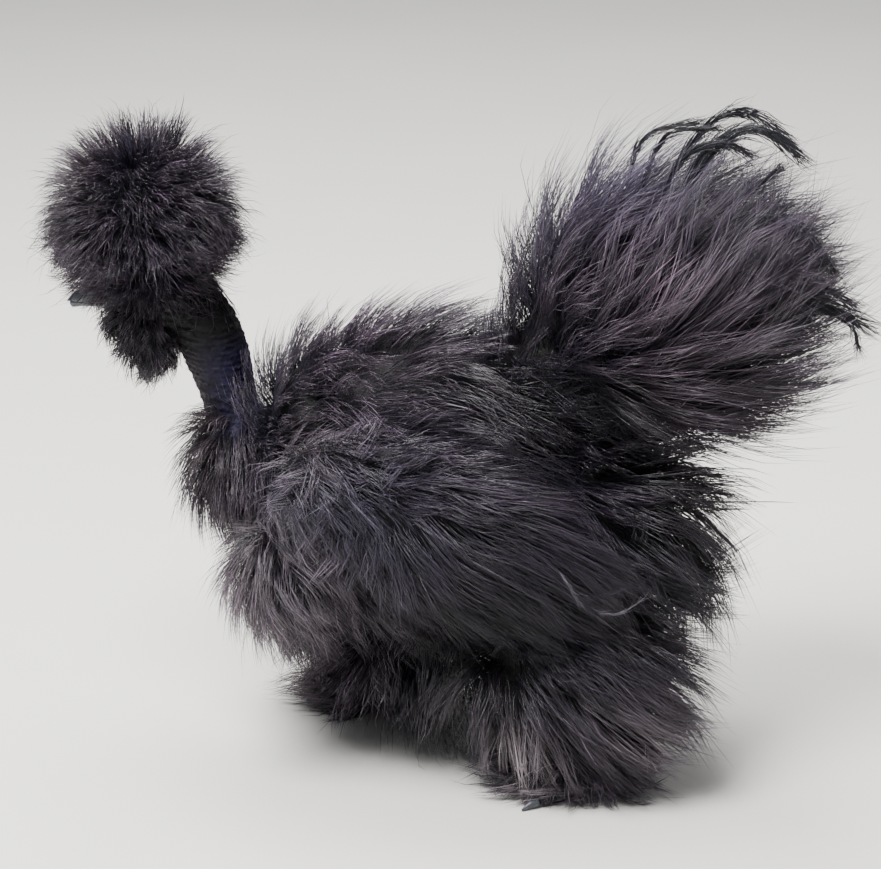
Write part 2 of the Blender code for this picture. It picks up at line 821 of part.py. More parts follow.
def make_bare_parts(skin, horn, eye):
    finish(make_head(), skin)
    for side in (1, -1):
        finish(make_eye(side), eye)
    finish(make_upper_beak(), horn)
    finish(make_lower_beak(), horn)
    finish(make_comb(), skin)
    finish(make_neck(), skin)
    for label, foot, side in FEET:
        finish(make_foot(label, foot, side), skin)
        for toe in TOES:
            finish(make_claw(label, foot, side, toe), horn)


def make_crest(lock):
    core, tips = Egg(CREST_CORE, detail=2), Egg(CREST_TIPS)
    bare = [Pipe(NECK_STATIONS), Egg(SKULL), Pipe(BEAK_STATIONS)]
    locks = tract_locks(core, tips, CREST_LOCKS, crest_lie, bare)
    made = fuse("crest", [core.solid("crest"), *lock_solids(locks, lock)])
    return carve(made, bare_parts("head", "beak", "comb", "neck"))


def make_beard(lock):
    core, tips = Egg(BEARD_CORE, detail=2), Egg(BEARD_TIPS)
    bare = [Pipe(NECK_STATIONS), Egg(SKULL), Pipe(BEAK_STATIONS), Egg(CREST_TIPS)]
    locks = tract_locks(core, tips, BEARD_LOCKS, beard_lie, bare)
    made = fuse("beard", [core.solid("beard"), *lock_solids(locks, lock)])
    return carve(made, bare_parts("head", "beak", "neck") + coat_room(Egg(CREST_TIPS)))


def make_wing(label, side, lock):
    core, tips = wing_shape(side, WING_CORE, 2), wing_shape(side, WING_TIPS)
    vanes = lock_solids(wing_vanes(core, tips, side), lock, tips)
    return fuse(f"wing_{label}", [core.solid("wing"), *vanes])


def make_tail(lock, feather, wings):
    """The cushion on its root, held to its outer shape, with the hard feathers through its rim."""
    core, root, tips = Egg(TAIL_CORE, detail=2), Egg(TAIL_ROOT, detail=2), Egg(TAIL_TIPS)
    trunk = [Egg(TORSO_CORE), Egg(REAR_CORE), *wings]
    locks = tract_locks(core, tips, TAIL_LOCKS, tail_lie, [root, *trunk])
    locks += tract_locks(root, tips, TAIL_ROOT_LOCKS, tail_lie, [core, *trunk])
    made = fuse("tail", [core.solid("tail"), root.solid("tail_root"), *lock_solids(locks, lock)])
    keep_inside(made, tips.solid("hold", grow=HOLD))
    carve(made, coat_room(*wings))
    return fuse("tail", [made, *lock_solids(tail_feathers(), feather)])


def make_leg(label, foot, side, lock, neighbours):
    core, tips = leg_shape(foot, LEG_CORE, 2), leg_shape(foot, LEG_TIPS)
    locks = tract_locks(core, tips, LEG_LOCKS, leg_lie, neighbours)
    made = fuse(f"leg_{label}", [core.solid("leg"), *lock_solids(locks, lock)])
    carve(made, foot_rooms(foot, side) + coat_room(*neighbours))
    return carve(made, [under_coat_cut()])


def make_torso(lock, neighbours):
    """The trunk with its crop, breast, back and under-tail coats, one body."""
    tracts = (
        (TORSO_CORE, TORSO_TIPS, TORSO_LOCKS, torso_lie),
        (CAPE_CORE, CAPE_TIPS, CAPE_LOCKS, cape_lie),
        (BREAST_CORE, BREAST_TIPS, BREAST_LOCKS, breast_lie),
        (CROP_CORE, CROP_TIPS, CROP_LOCKS, crop_lie),
        (REAR_CORE, REAR_TIPS, REAR_LOCKS, rear_lie),
    )
    cores = [Egg(core, detail=2) for core, tips, sizes, lie in tracts]
    pieces = [core.solid("torso") for core in cores]
    for index, (core, tips, sizes, lie) in enumerate(tracts):
        others = cores[:index] + cores[index + 1 :]
        locks = tract_locks(Egg(core), Egg(tips), sizes, lie, [Pipe(NECK_STATIONS), *others, *neighbours])
        pieces += lock_solids(locks, lock)
    made = fuse("torso", pieces)
    return carve(made, bare_parts("neck", "head") + coat_room(*neighbours, Egg(CREST_TIPS), Egg(BEARD_TIPS)))


def main():
    clear_scene()
    collection_named("Silkie")
    collection_named("Workshop")
    plumage = surface("black silky plumage", (0.022, 0.019, 0.022), 0.6)
    skin = surface("dark mulberry skin", (0.03, 0.028, 0.045), 0.55)
    horn = surface("slate horn", (0.06, 0.065, 0.08), 0.4)
    eye = surface("black eye", (0.01, 0.008, 0.008), 0.1)
    lock, feather = template_cone(3, LOCK_RINGS), template_cone(3, FEATHER_RINGS)

    wings = [wing_shape(side, WING_TIPS) for side in (1, -1)]
    tail = Egg(TAIL_TIPS)
    legs = [leg_shape(foot, LEG_TIPS) for label, foot, side in FEET]
    make_bare_parts(skin, horn, eye)
    finish(make_crest(lock), plumage)
    finish(make_beard(lock), plumage)
    for label, foot, side in FEET:
        finish(make_wing(label, side, lock), plumage)
    finish(make_tail(lock, feather, wings), plumage)
    for label, foot, side in FEET:
        finish(make_leg(label, foot, side, lock, [*wings, tail]), plumage)
    finish(make_torso(lock, [*wings, tail, *legs]), plumage)


main()
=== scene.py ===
"""A black bare-necked silkie chicken of bantam size, as a still life-size museum model.

Sizes are millimetres in the bird's own measure, where it faces -Y, its left side is +X and +Z is up.
The frame's left eye says how far that measure is moved, and everything is placed by it.
"""

import logging
import math
from collections.abc import Callable, Iterable, Sequence
from dataclasses import dataclass, field, fields
from enum import Enum

import bpy
import numpy as np
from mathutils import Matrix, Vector


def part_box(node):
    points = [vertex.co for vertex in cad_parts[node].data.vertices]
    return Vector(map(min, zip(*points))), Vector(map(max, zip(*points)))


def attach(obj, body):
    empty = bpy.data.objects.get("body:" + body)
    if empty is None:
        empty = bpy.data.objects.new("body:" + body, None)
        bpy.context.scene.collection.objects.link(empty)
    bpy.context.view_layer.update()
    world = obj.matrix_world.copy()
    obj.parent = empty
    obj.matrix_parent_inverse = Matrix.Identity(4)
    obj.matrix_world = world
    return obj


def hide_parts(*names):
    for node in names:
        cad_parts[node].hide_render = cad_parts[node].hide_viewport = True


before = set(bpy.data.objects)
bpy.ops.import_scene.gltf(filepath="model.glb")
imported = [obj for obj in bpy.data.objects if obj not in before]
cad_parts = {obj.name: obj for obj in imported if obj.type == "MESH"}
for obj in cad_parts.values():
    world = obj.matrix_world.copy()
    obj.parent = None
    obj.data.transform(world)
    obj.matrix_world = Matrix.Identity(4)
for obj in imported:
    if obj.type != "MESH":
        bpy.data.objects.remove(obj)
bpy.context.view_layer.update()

LOG = logging.getLogger("silkie")
MM = 0.001

Point = tuple[float, float, float]
Station = tuple[Point, float]
Lie = Callable[[np.ndarray], np.ndarray]

# The eye that the measure is set by
EYE_CENTRE: Point = (10.4, -139.0, 230.0)
EYE_RADIUS = 5.0
SIDES = (("left", 1), ("right", -1))


class Body(Enum):
    """The frame's bodies that a piece can ride on."""

    WHOLE = "root"


class Slot(Enum):
    """The record's material slots."""

    PLUMAGE = "plumage"
    SKIN = "skin"
    HORN = "horn"
    EYE = "eye"


def unit_rows(rows: np.ndarray) -> np.ndarray:
    """Each row at length one."""
    return rows / np.maximum(np.linalg.norm(rows, axis=-1, keepdims=True), 1e-9)


def eye_shift() -> np.ndarray:
    """How far the bird's measure is moved in the shared frame, in millimetres."""
    low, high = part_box("eye_left")
    return np.array((low + high) / 2) / MM - np.array(EYE_CENTRE)


SHIFT = eye_shift()


def placed(points: np.ndarray) -> np.ndarray:
    """Points of the bird's measure, in metres in the shared frame."""
    return (points + SHIFT) * MM


def linear(hex_colour: str) -> np.ndarray:
    """A hex sRGB colour as linear red, green and blue.

    Args:
        hex_colour: Six hex digits after a hash.

    Returns:
        Three linear values.
    """
    shares = np.array([int(hex_colour[start : start + 2], 16) / 255 for start in (1, 3, 5)])
    return np.where(shares <= 0.04045, shares / 12.92, ((shares + 0.055) / 1.055) ** 2.4)


def blend(one: np.ndarray, other: np.ndarray, share: np.ndarray) -> np.ndarray:
    """One colour passing into another by a share."""
    return one * (1 - share) + other * share


def rgba(hex_colour: str) -> tuple[float, float, float, float]:
    """A hex sRGB colour as a linear socket value."""
    return (*linear(hex_colour), 1.0)


@dataclass(frozen=True)
class Egg:
    """An ellipsoid, pitched about X by some degrees."""

    centre: Point
    half: Point
    pitch: float = 0.0

    def turn(self) -> np.ndarray:
        """The rotation of its axes.

        Returns:
            A matrix with the axes in its columns.
        """
        angle = math.radians(self.pitch)
        cosine, sine = math.cos(angle), math.sin(angle)
        return np.array([[1, 0, 0], [0, cosine, -sine], [0, sine, cosine]])

    def mirrored(self) -> "Egg":
        """The same shape on the bird's other side."""
        x, y, z = self.centre
        return Egg((-x, y, z), self.half, self.pitch)

    def grown(self, share: float) -> "Egg":
        """The same shape, larger by a share."""
        return Egg(self.centre, tuple(size * share for size in self.half), self.pitch)

    def point(self, units: np.ndarray) -> np.ndarray:
        """The surface points in some directions."""
        return np.array(self.centre) + (units * np.array(self.half)) @ self.turn().T

    def local(self, points: np.ndarray) -> np.ndarray:
        """Points in the egg's own axes, where its surface has length one."""
        return ((points - np.array(self.centre)) @ self.turn()) / np.array(self.half)

    def normal(self, units: np.ndarray) -> np.ndarray:
        """The outward normals of the surface in some directions."""
        return unit_rows((units / np.array(self.half)) @ self.turn().T)

    def holds(self, points: np.ndarray) -> np.ndarray:
        """Which points are inside."""
        return (self.local(points) ** 2).sum(axis=-1) < 1.0

    def press_out(self, points: np.ndarray) -> np.ndarray:
        """Points moved out to the surface where they are inside.

        Args:
            points: Places in the bird's measure.

        Returns:
            The places, none of them inside.
        """
        local = self.local(points)
        size = np.maximum(np.linalg.norm(local, axis=-1, keepdims=True), 1e-6)
        return np.where(size < 1.0, self.point(local / size), points)


def smooth_path(stations: Sequence[Station], shares: np.ndarray) -> np.ndarray:
    """Centres and radii read from a smooth curve through stations.

    Args:
        stations: Centres and radii in order.
        shares: Places along the curve, from 0 to 1.

    Returns:
        One row of x, y, z and radius for each share.
    """
    rows = np.array([(*centre, radius) for centre, radius in stations], float)
    rows = np.vstack([2 * rows[0] - rows[1], rows, 2 * rows[-1] - rows[-2]])
    places = np.clip(shares, 0, 1) * (len(stations) - 1)
    first = np.minimum(places.astype(int), len(stations) - 2)
    t = (places - first)[:, None]
    before, start, end, after = (rows[first + step] for step in range(4))
    bend = 2 * start + (end - before) * t
    bend += (2 * before - 5 * start + 4 * end - after) * t**2
    bend += (3 * start - before - 3 * end + after) * t**3
    return 0.5 * bend


# Bare parts of the head
SKULL = Egg((0, -131, 228), (13.5, 20, 15.5))
VAULT = Egg((0, -130, 240), (11, 13, 11))
FACE = Egg((0, -146, 224), (8.8, 8, 8.5))
EARLOBE = Egg((12.5, -122, 220), (2.4, 4.5, 5.5))
BEAK_STATIONS: tuple[Station, ...] = (
    ((0, -143, 225), 6.8),
    ((0, -155, 224.5), 5.6),
    ((0, -165, 222.5), 3.9),
    ((0, -172.5, 219.5), 1.6),
)
MOUTH_Z = 221.5
NECK_STATIONS: tuple[Station, ...] = (
    ((0, -119, 231), 13.0),
    ((0, -107.5, 214), 15.2),
    ((0, -101, 198), 15.0),
    ((0, -97, 184), 13.6),
    ((0, -94, 170), 12.6),
    ((0, -91, 150), 13.0),
)

# Outer shapes that the coat's tips reach
CREST_TIPS = Egg((0, -134, 264), (48, 49, 51))
BEARD_TIPS = Egg((0, -134, 202), (20, 18, 18))
CROP_TIPS = Egg((0, -95, 143), (39, 30, 41))
CAPE_TIPS = Egg((0, -56, 170), (60, 42, 50))
BREAST_TIPS = Egg((0, -54, 96), (66, 49, 50))
TORSO_TIPS = Egg((0, -4, 138), (80, 98, 96))
REAR_TIPS = Egg((0, 90, 122), (60, 62, 70))
TAIL_TIPS = Egg((0, 113, 230), (76, 87, 83))
WING_TIPS = Egg((68, 14, 139), (20, 92, 46), -20.0)
LEG_TIPS = Egg((44, 3, 52), (34, 68, 51))

# Cores under the coat, which the strands are rooted on
CREST_CORE = Egg((0, -134, 262), (27, 29, 25))
BEARD_CORE = Egg((0, -131, 205), (12, 11, 11))
CROP_CORE = Egg((0, -90, 147), (23, 19, 27))
CAPE_CORE = Egg((0, -50, 164), (44, 27, 32))
BREAST_CORE = Egg((0, -50, 100), (48, 35, 36))
TORSO_CORE = Egg((0, -4, 142), (60, 77, 70))
REAR_CORE = Egg((0, 74, 128), (40, 38, 38))
TAIL_CORE = Egg((0, 96, 218), (38, 46, 36))
TAIL_ROOT = Egg((0, 64, 190), (32, 36, 34))
WING_CORE = Egg((65, 8, 141), (13, 70, 34), -20.0)
LEG_CORE = Egg((42, 2, 62), (19, 40, 37))

# Cores and tips of the smaller tracts, from the brow to the feet
RUMP_TIPS = Egg((0, 58, 194), (46, 56, 48))
FRINGE_CORE = Egg((0, -145, 241), (15, 15, 9))
FRINGE_TIPS = Egg((0, -153, 231), (23, 26, 25))
MUFF_CORE = Egg((0, -135, 217), (13, 15, 10))
MUFF_TIPS = Egg((0, -135, 213), (22, 23, 19))
SHOULDER_CORE = Egg((61, -34, 158), (18, 31, 20))
SHOULDER_TIPS = Egg((60, -25, 153), (28, 50, 36))
SLIPPER_CORE = Egg((42, 4, 12), (14, 24, 9))
SLIPPER_TIPS = Egg((37, 0, 8), (28, 50, 25))
SHOULDER_WHORL: Point = (60.0, -71.0, 137.0)
BREAST_WHORL: Point = (30.0, -84.0, 125.0)
TAIL_FAN: Point = (0.0, 62.0, 190.0)
WING_FRONT = -55.0
WING_RUN = 120.0
WHORL_CORE = Egg((46, -60, 110), (22, 27, 24))
WHORL_TIPS = Egg((50, -58, 106), (32, 40, 36))
BELLY_CORE = Egg((0, 12, 74), (40, 56, 30))
BELLY_TIPS = Egg((0, 8, 66), (52, 76, 66))

# Feet: where the toes meet the shank, and where the leg's coat is centred behind that
LEFT_FOOT = (42.0, 82.0)
RIGHT_FOOT = (-40.0, -22.0)
FEET = (("left", LEFT_FOOT, 1), ("right", RIGHT_FOOT, -1))
LEG_COAT_BEHIND = -12.0
HOCK_BEHIND = 26.0
HOCK_HEIGHT = 62.0
SHANK_RADIUS = 4.6
TOE_ROOT_HEIGHT = 6.0
CLAW_LENGTH = 8.5

# The box that the loose strands stay in, from just above the floor
COAT_REACH = ((-95.0, -200.0, 1.0), (95.0, 217.0, 328.0))


@dataclass(frozen=True)
class Toe:
    """One toe: heading from straight ahead in degrees, reach, height of its tip and radius."""

    name: str
    heading: float
    reach: float
    height: float
    radius: float

    def line(self, foot: tuple[float, float], side: int) -> tuple[np.ndarray, np.ndarray, np.ndarray]:
        """Where it starts and ends, and its direction.

        Args:
            foot: Where the toes meet the shank.
            side: 1 on the left and -1 on the right.

        Returns:
            The start, the tip and the unit direction.
        """
        angle = math.radians(self.heading * side)
        start = np.array([foot[0], foot[1], TOE_ROOT_HEIGHT])
        ahead = np.array([-math.sin(angle), -math.cos(angle), 0.0]) * self.reach
        tip = np.array([foot[0], foot[1], self.height]) + ahead
        return start, tip, (tip - start) / np.linalg.norm(tip - start)


TOES = (
    Toe("middle", 0, 38, 3.2, 3.9),
    Toe("inner", 34, 29, 3.0, 3.5),
    Toe("outer", -36, 30, 3.0, 3.5),
    Toe("hind", 172, 17, 3.0, 3.3),
    Toe("extra", 140, 20, 17.0, 2.8),
)


@dataclass(frozen=True)
class MarkOrPaintedLight:
    """A soft-edged patch of colour, alike on both sides of the bird; some are the plumage's own marks,
    others painted sheen and painted shade.
    """

    centre: Point
    radius: float
    colour: str
    strength: float


COAT_COLOUR = "#291f2b"
# Patches of colour on the coat. The pale tufts of the breast, shoulders and feet are the plumage's own; the
# bluish patches on the wing's shoulder and the tail's top are painted sheen, the lighter brown on the
# crest's front is painted backlight, and the dark patches under the wing, in front of the tail and, with the
# down's own dark, under the body and rear are painted shade.
MARKS_AND_PAINTED_LIGHT = (
    # Painted bluish sheen of sky light on the wing's shoulder and coverts
    MarkOrPaintedLight((80, -40, 162), 42, "#3b3b4c", 0.7),
    MarkOrPaintedLight((80, -5, 134), 38, "#35323f", 0.45),
    # Painted shade under the wing's lower edge
    MarkOrPaintedLight((84, 40, 108), 34, "#0f0d11", 0.6),
    # Painted bluish sheen of sky light on the top front of the tail
    MarkOrPaintedLight((30, 92, 292), 44, "#3d3a4e", 0.6),
    MarkOrPaintedLight((60, 108, 248), 54, "#463a42", 0.75),
    MarkOrPaintedLight((64, 100, 196), 32, "#100d10", 0.7),
    MarkOrPaintedLight((58, -82, 106), 36, "#736870", 0.85),
    MarkOrPaintedLight((72, -44, 98), 26, "#5f555b", 0.7),
    # Painted shade beneath the wing, over the belly and flank
    MarkOrPaintedLight((60, 22, 80), 36, "#0b090c", 0.85),
    MarkOrPaintedLight((66, 62, 98), 30, "#0e0c10", 0.7),
    MarkOrPaintedLight((62, -50, 176), 24, "#5c5054", 0.7),
    MarkOrPaintedLight((25, -115, 168), 26, "#504747", 0.55),
    MarkOrPaintedLight((66, 48, 20), 17, "#a0959a", 0.9),
    MarkOrPaintedLight((36, 12, 48), 13, "#8a7f84", 0.7),
    MarkOrPaintedLight((70, 110, 40), 20, "#776d72", 0.7),
    MarkOrPaintedLight((42, -64, 18), 18, "#74686a", 0.6),
    # Painted backlight: a lighter brown on the crest's front and top, as where light shines through its rim
    MarkOrPaintedLight((0, -160, 292), 40, "#382f30", 0.5),
    MarkOrPaintedLight((40, -30, 205), 46, "#4b3d49", 0.65),
    # Darker under the body and at the rear: partly the down's own dark, partly painted shade
    MarkOrPaintedLight((40, 8, 46), 40, "#0d0b0e", 0.75),
    MarkOrPaintedLight((24, 118, 118), 56, "#0c0a0d", 0.85),
    MarkOrPaintedLight((44, 74, 200), 38, "#0e0c10", 0.8),
    MarkOrPaintedLight((30, -64, 188), 24, "#120f13", 0.7),
    MarkOrPaintedLight((44, 30, 176), 26, "#171319", 0.5),
    MarkOrPaintedLight((10, -134, 202), 24, "#171417", 0.7),
    # Painted shade in the hollow in front of the tail
    MarkOrPaintedLight((20, 42, 230), 20, "#121014", 0.6),
)


def coat_colours(points: np.ndarray) -> np.ndarray:
    """The plumage's linear colour at some places, with its own marks, painted sheen and painted shade.

    Args:
        points: Places in the bird's measure.

    Returns:
        One row of linear red, green and blue for each place.
    """
    colours = np.tile(linear(COAT_COLOUR), (len(points), 1))
    folded = np.stack([np.abs(points[:, 0]), points[:, 1], points[:, 2]], axis=1)
    for mark_or_light in MARKS_AND_PAINTED_LIGHT:
        distance = np.linalg.norm(folded - np.array(mark_or_light.centre), axis=1)
        weight = (mark_or_light.strength * np.exp(-((distance / mark_or_light.radius) ** 2)))[:, None]
        colours = blend(colours, linear(mark_or_light.colour), weight)
    return colours


def add_node(
    material: bpy.types.Material | bpy.types.World,
    kind: str,
    settings: dict[str, object] | None = None,
    values: dict[str | int, object] | None = None,
    links: dict[str | int, bpy.types.NodeSocket] | None = None,
) -> bpy.types.Node:
    """Adds a shader node with its settings, socket values and incoming links.

    Args:
        material: The material or world that gets the node.
        kind: The node's type name.
        settings: Properties of the node.
        values: Values of its input sockets.
        links: Outputs of other nodes for its input sockets.

    Returns:
        The new node.
    """
    node = material.node_tree.nodes.new(kind)
    for name, value in (settings or {}).items():
        setattr(node, name, value)
    for socket, value in (values or {}).items():
        node.inputs[socket].default_value = value
    for socket, source in (links or {}).items():
        material.node_tree.links.new(source, node.inputs[socket])
    return node


class Surface:
    """A new material, with the steps that the finishes share."""

    def __init__(self, name: str) -> None:
        """Starts a material of this name.

        Args:
            name: The material's name.
        """
        self.material = bpy.data.materials.new(name)
        self.material.use_nodes = True
        self.nodes = self.material.node_tree.nodes

    def place(self) -> bpy.types.NodeSocket:
        """Where a point of the piece is in the shared frame.

        Returns:
            The place's socket.
        """
        node = self.nodes.get("Texture Coordinate") or add_node(self.material, "ShaderNodeTexCoord")
        return node.outputs["Object"]

    def attribute(self, name: str, output: str) -> bpy.types.NodeSocket:
        """A value or a colour that the piece's vertices carry."""
        node = add_node(self.material, "ShaderNodeAttribute", {"attribute_name": name})
        return node.outputs[output]

    def texture(self, kind: str, size: float, **values: float) -> bpy.types.Node:
        """A pattern with features of a real size.

        Args:
            kind: The texture node's type name.
            size: The size of the features in millimetres.
            values: The values of its other sockets.

        Returns:
            The texture's node.
        """
        values["Scale"] = 1 / (size * MM)
        return add_node(self.material, kind, values=values, links={"Vector": self.place()})

    def ramp(self, share: bpy.types.NodeSocket, *stops: tuple[float, str]) -> bpy.types.NodeSocket:
        """A colour read at a share, between two stops that are places and hex colours.

        Args:
            share: The share.
            stops: Places and hex colours.

        Returns:
            The colour.
        """
        node = add_node(self.material, "ShaderNodeValToRGB", links={"Fac": share})
        for element, (place, colour) in zip(node.color_ramp.elements, stops):
            element.position = place
            element.color = rgba(colour)
        return node.outputs["Color"]

    def marks_with_painted_light(self, shade: bpy.types.NodeSocket) -> bpy.types.NodeSocket:
        """The piece's marks and painted light, darkened by a painted shade."""
        mixed = add_node(
            self.material,
            "ShaderNodeMix",
            {"data_type": "RGBA", "blend_type": "MULTIPLY"},
            {0: 1.0},
            {6: self.attribute("marks_and_painted_light", "Color"), 7: shade},
        )
        return mixed.outputs[2]

    def vector(
        self, operation: str, source: bpy.types.NodeSocket, other: Point = (0.0, 0.0, 0.0)
    ) -> bpy.types.Node:
        """One step of vector maths on a source and a fixed vector."""
        return add_node(
            self.material, "ShaderNodeVectorMath", {"operation": operation}, {1: other}, {0: source}
        )

    def bump(
        self,
        height: bpy.types.NodeSocket,
        strength: float,
        depth: float,
        under: bpy.types.NodeSocket | None = None,
    ) -> bpy.types.NodeSocket:
        """Relief read from a height.

        Args:
            height: The height, from 0 to 1.
            strength: How much of the relief shows.
            depth: The depth of the relief in millimetres.
            under: A relief that this one lies on.

        Returns:
            The normal of the relief.
        """
        links = {"Height": height}
        if under:
            links["Normal"] = under
        values = {"Strength": strength, "Distance": depth * MM}
        return add_node(self.material, "ShaderNodeBump", values=values, links=links).outputs["Normal"]

    def finished(
        self, links: dict[str, bpy.types.NodeSocket], values: dict[str, object]
    ) -> bpy.types.Material:
        """The material, once its shader has its incoming links and its values.

        Args:
            links: Sources for the shader's sockets.
            values: Values of its other sockets.

        Returns:
            The finished material.
        """
        shader = self.nodes["Principled BSDF"]
        for name, source in links.items():
            self.material.node_tree.links.new(source, shader.inputs[name])
        for name, value in values.items():
            shader.inputs[name].default_value = value
        return self.material


@dataclass(frozen=True)
class SilkyPlumage:
    """Silkie down: barbs with no hooks, so it hangs as fine separate strands with a soft satin light."""

    name: str = "black silky down, strand by strand"
    # Painted shade deep in the coat: the strands darkened towards their roots
    root: str = "#1e1a1e"
    tip: str = "#ffffff"
    root_shade_ends: float = 0.8
    roughness: float = 0.34
    sheen: float = 0.12
    sheen_roughness: float = 0.45
    sheen_tint: str = "#8f8cab"

    def material(self) -> bpy.types.Material:
        """Makes the material, with painted shade in the coat's depth: dark at the roots and full in colour
        towards the tips.

        Returns:
            The new material.
        """
        surface = Surface(self.name)
        along = surface.attribute("along", "Fac")
        shade = surface.ramp(along, (0.0, self.root), (self.root_shade_ends, self.tip))
        values = {
            "Roughness": self.roughness,
            "Sheen Weight": self.sheen,
            "Sheen Roughness": self.sheen_roughness,
            "Sheen Tint": rgba(self.sheen_tint),
        }
        return surface.finished({"Base Color": surface.marks_with_painted_light(shade)}, values)


@dataclass(frozen=True)
class DarkSkin:
    """Mulberry-black skin: fibrous and finely wrinkled, dull with a faint oily light on the creases."""

    name: str = "mulberry black skin, finely wrinkled"
    pore: float = 0.9
    pore_relief: tuple[float, float] = (0.5, 0.25)
    crease: float = 3.2
    crease_relief: tuple[float, float] = (0.6, 0.6)
    # Painted shade: the hollows of the creases darker, the ridges full in colour
    crease_shade_stops: tuple[tuple[float, str], ...] = ((0.35, "#8a8a8a"), (0.65, "#ffffff"))
    roughness: float = 0.6
    shine: float = 0.16

    def material(self) -> bpy.types.Material:
        """Makes the material, with pores and creases in its bump and painted shade in the hollows of the
        creases.

        Returns:
            The new material.
        """
        surface = Surface(self.name)
        noise = surface.texture("ShaderNodeTexNoise", self.crease, Detail=6.0, Roughness=0.6)
        pores = surface.texture("ShaderNodeTexVoronoi", self.pore).outputs["Distance"]
        creases = noise.outputs["Fac"]
        colour = surface.marks_with_painted_light(surface.ramp(creases, *self.crease_shade_stops))
        relief = surface.bump(pores, *self.pore_relief)
        relief = surface.bump(creases, *self.crease_relief, relief)
        values = {"Roughness": self.roughness, "Specular IOR Level": self.shine}
        return surface.finished({"Base Color": colour, "Normal": relief}, values)


@dataclass(frozen=True)
class Keratin:
    """What horn and hard feathers are made of, with streaks in its colour and its relief."""

    name: str
    dark: str
    light: str
    stops: tuple[float, float]
    streak: float
    detail: float
    grit: float
    relief: tuple[float, float]
    roughness: float

    def material(self) -> bpy.types.Material:
        """Makes the material, darker and deeper between its streaks.

        Returns:
            The new material.
        """
        surface = Surface(self.name)
        noise = surface.texture("ShaderNodeTexNoise", self.streak, Detail=self.detail, Roughness=self.grit)
        streaks = noise.outputs["Fac"]
        low, high = self.stops
        links = {
            "Base Color": surface.ramp(streaks, (low, self.dark), (high, self.light)),
            "Normal": surface.bump(streaks, *self.relief),
        }
        return surface.finished(links, {"Roughness": self.roughness})


@dataclass(frozen=True)
class SlateHorn(Keratin):
    """Beak and claws: grown in fine layers, slate grey, satin, paler where they thin."""

    name: str = "slate keratin, satin"
    dark: str = "#1d2026"
    light: str = "#4a4d55"
    stops: tuple[float, float] = (0.3, 0.75)
    streak: float = 1.4
    detail: float = 4.0
    grit: float = 0.55
    relief: tuple[float, float] = (0.3, 0.15)
    roughness: float = 0.36


@dataclass(frozen=True)
class HardVane(Keratin):
    """A contour feather whose barbs hook together: a stiff dark vane with a bluish gloss."""

    name: str = "hard black vane, glossy"
    dark: str = "#0c0c11"
    light: str = "#2a2a33"
    stops: tuple[float, float] = (0.35, 0.8)
    streak: float = 1.2
    detail: float = 3.0
    grit: float = 0.5
    relief: tuple[float, float] = (0.4, 0.2)
    roughness: float = 0.34


@dataclass(frozen=True)
class WetEye:
    """A living eye: near-black iris and pupil under a wet clear cornea, with one sharp light in it."""

    name: str = "black eye, wet cornea"
    iris: str = "#1e100b"
    pupil: str = "#020202"
    pupil_radius: float = 2.3
    pupil_edge: float = 0.3

    def material(self) -> bpy.types.Material:
        """Makes the material, with a pupil that faces out from the head on each side.

        Returns:
            The new material.
        """
        surface = Surface(self.name)
        y, z = placed(np.array(EYE_CENTRE))[1:]
        moved = surface.vector("SUBTRACT", surface.place(), (0.0, y, z))
        flat = surface.vector("MULTIPLY", moved.outputs["Vector"], (0.0, 1.0, 1.0))
        away = surface.vector("LENGTH", flat.outputs["Vector"])
        inside = add_node(
            surface.material,
            "ShaderNodeMapRange",
            values={1: self.pupil_radius * MM, 2: (self.pupil_radius + self.pupil_edge) * MM},
            links={0: away.outputs["Value"]},
        )
        colour = surface.ramp(inside.outputs[0], (0.0, self.pupil), (1.0, self.iris))
        wet = {"Roughness": 0.06, "IOR": 1.38, "Coat Weight": 1.0, "Coat Roughness": 0.02}
        return surface.finished({"Base Color": colour}, wet)


def deselect_all() -> None:
    """Leaves nothing selected, in object mode."""
    if bpy.context.object and bpy.context.object.mode != "OBJECT":
        bpy.ops.object.mode_set(mode="OBJECT")
    bpy.ops.object.select_all(action="DESELECT")


def select_only(objects: Iterable[bpy.types.Object]) -> None:
    """Selects some objects, the first of them active.

    Args:
        objects: What to select.
    """
    deselect_all()
    chosen = list(objects)
    for obj in chosen:
        obj.select_set(True)
    bpy.context.view_layer.objects.active = chosen[0]


def read_rows(items: bpy.types.bpy_prop_collection, name: str) -> np.ndarray:
    """Reads a vector from all of a mesh's vertices, normals or faces.

    Args:
        items: The mesh's vertices, normals or faces.
        name: The vector to read.

    Returns:
        One row for each item.
    """
    flat = np.empty(len(items) * 3)
    items.foreach_get(name, flat)
    return flat.reshape(-1, 3)


def read_points(obj: bpy.types.Object) -> np.ndarray:
    """An object's vertex positions."""
    return read_rows(obj.data.vertices, "co")


def write_points(obj: bpy.types.Object, points: np.ndarray) -> None:
    """Moves an object's vertices."""
    obj.data.vertices.foreach_set("co", np.ascontiguousarray(points, np.float32).ravel())
    obj.data.update()


def measured(obj: bpy.types.Object) -> np.ndarray:
    """An object's vertex positions in the bird's measure."""
    return read_points(obj) / MM - SHIFT


def apply_modifier(obj: bpy.types.Object, kind: str, settings: dict[str, object]) -> None:
    """Adds a modifier with its settings and applies it.

    Args:
        obj: The object.
        kind: The modifier's type.
        settings: Its properties.
    """
    select_only([obj])
    modifier = obj.modifiers.new(kind.title(), kind)
    for name, value in settings.items():
        setattr(modifier, name, value)
    bpy.ops.object.modifier_apply(modifier=modifier.name)


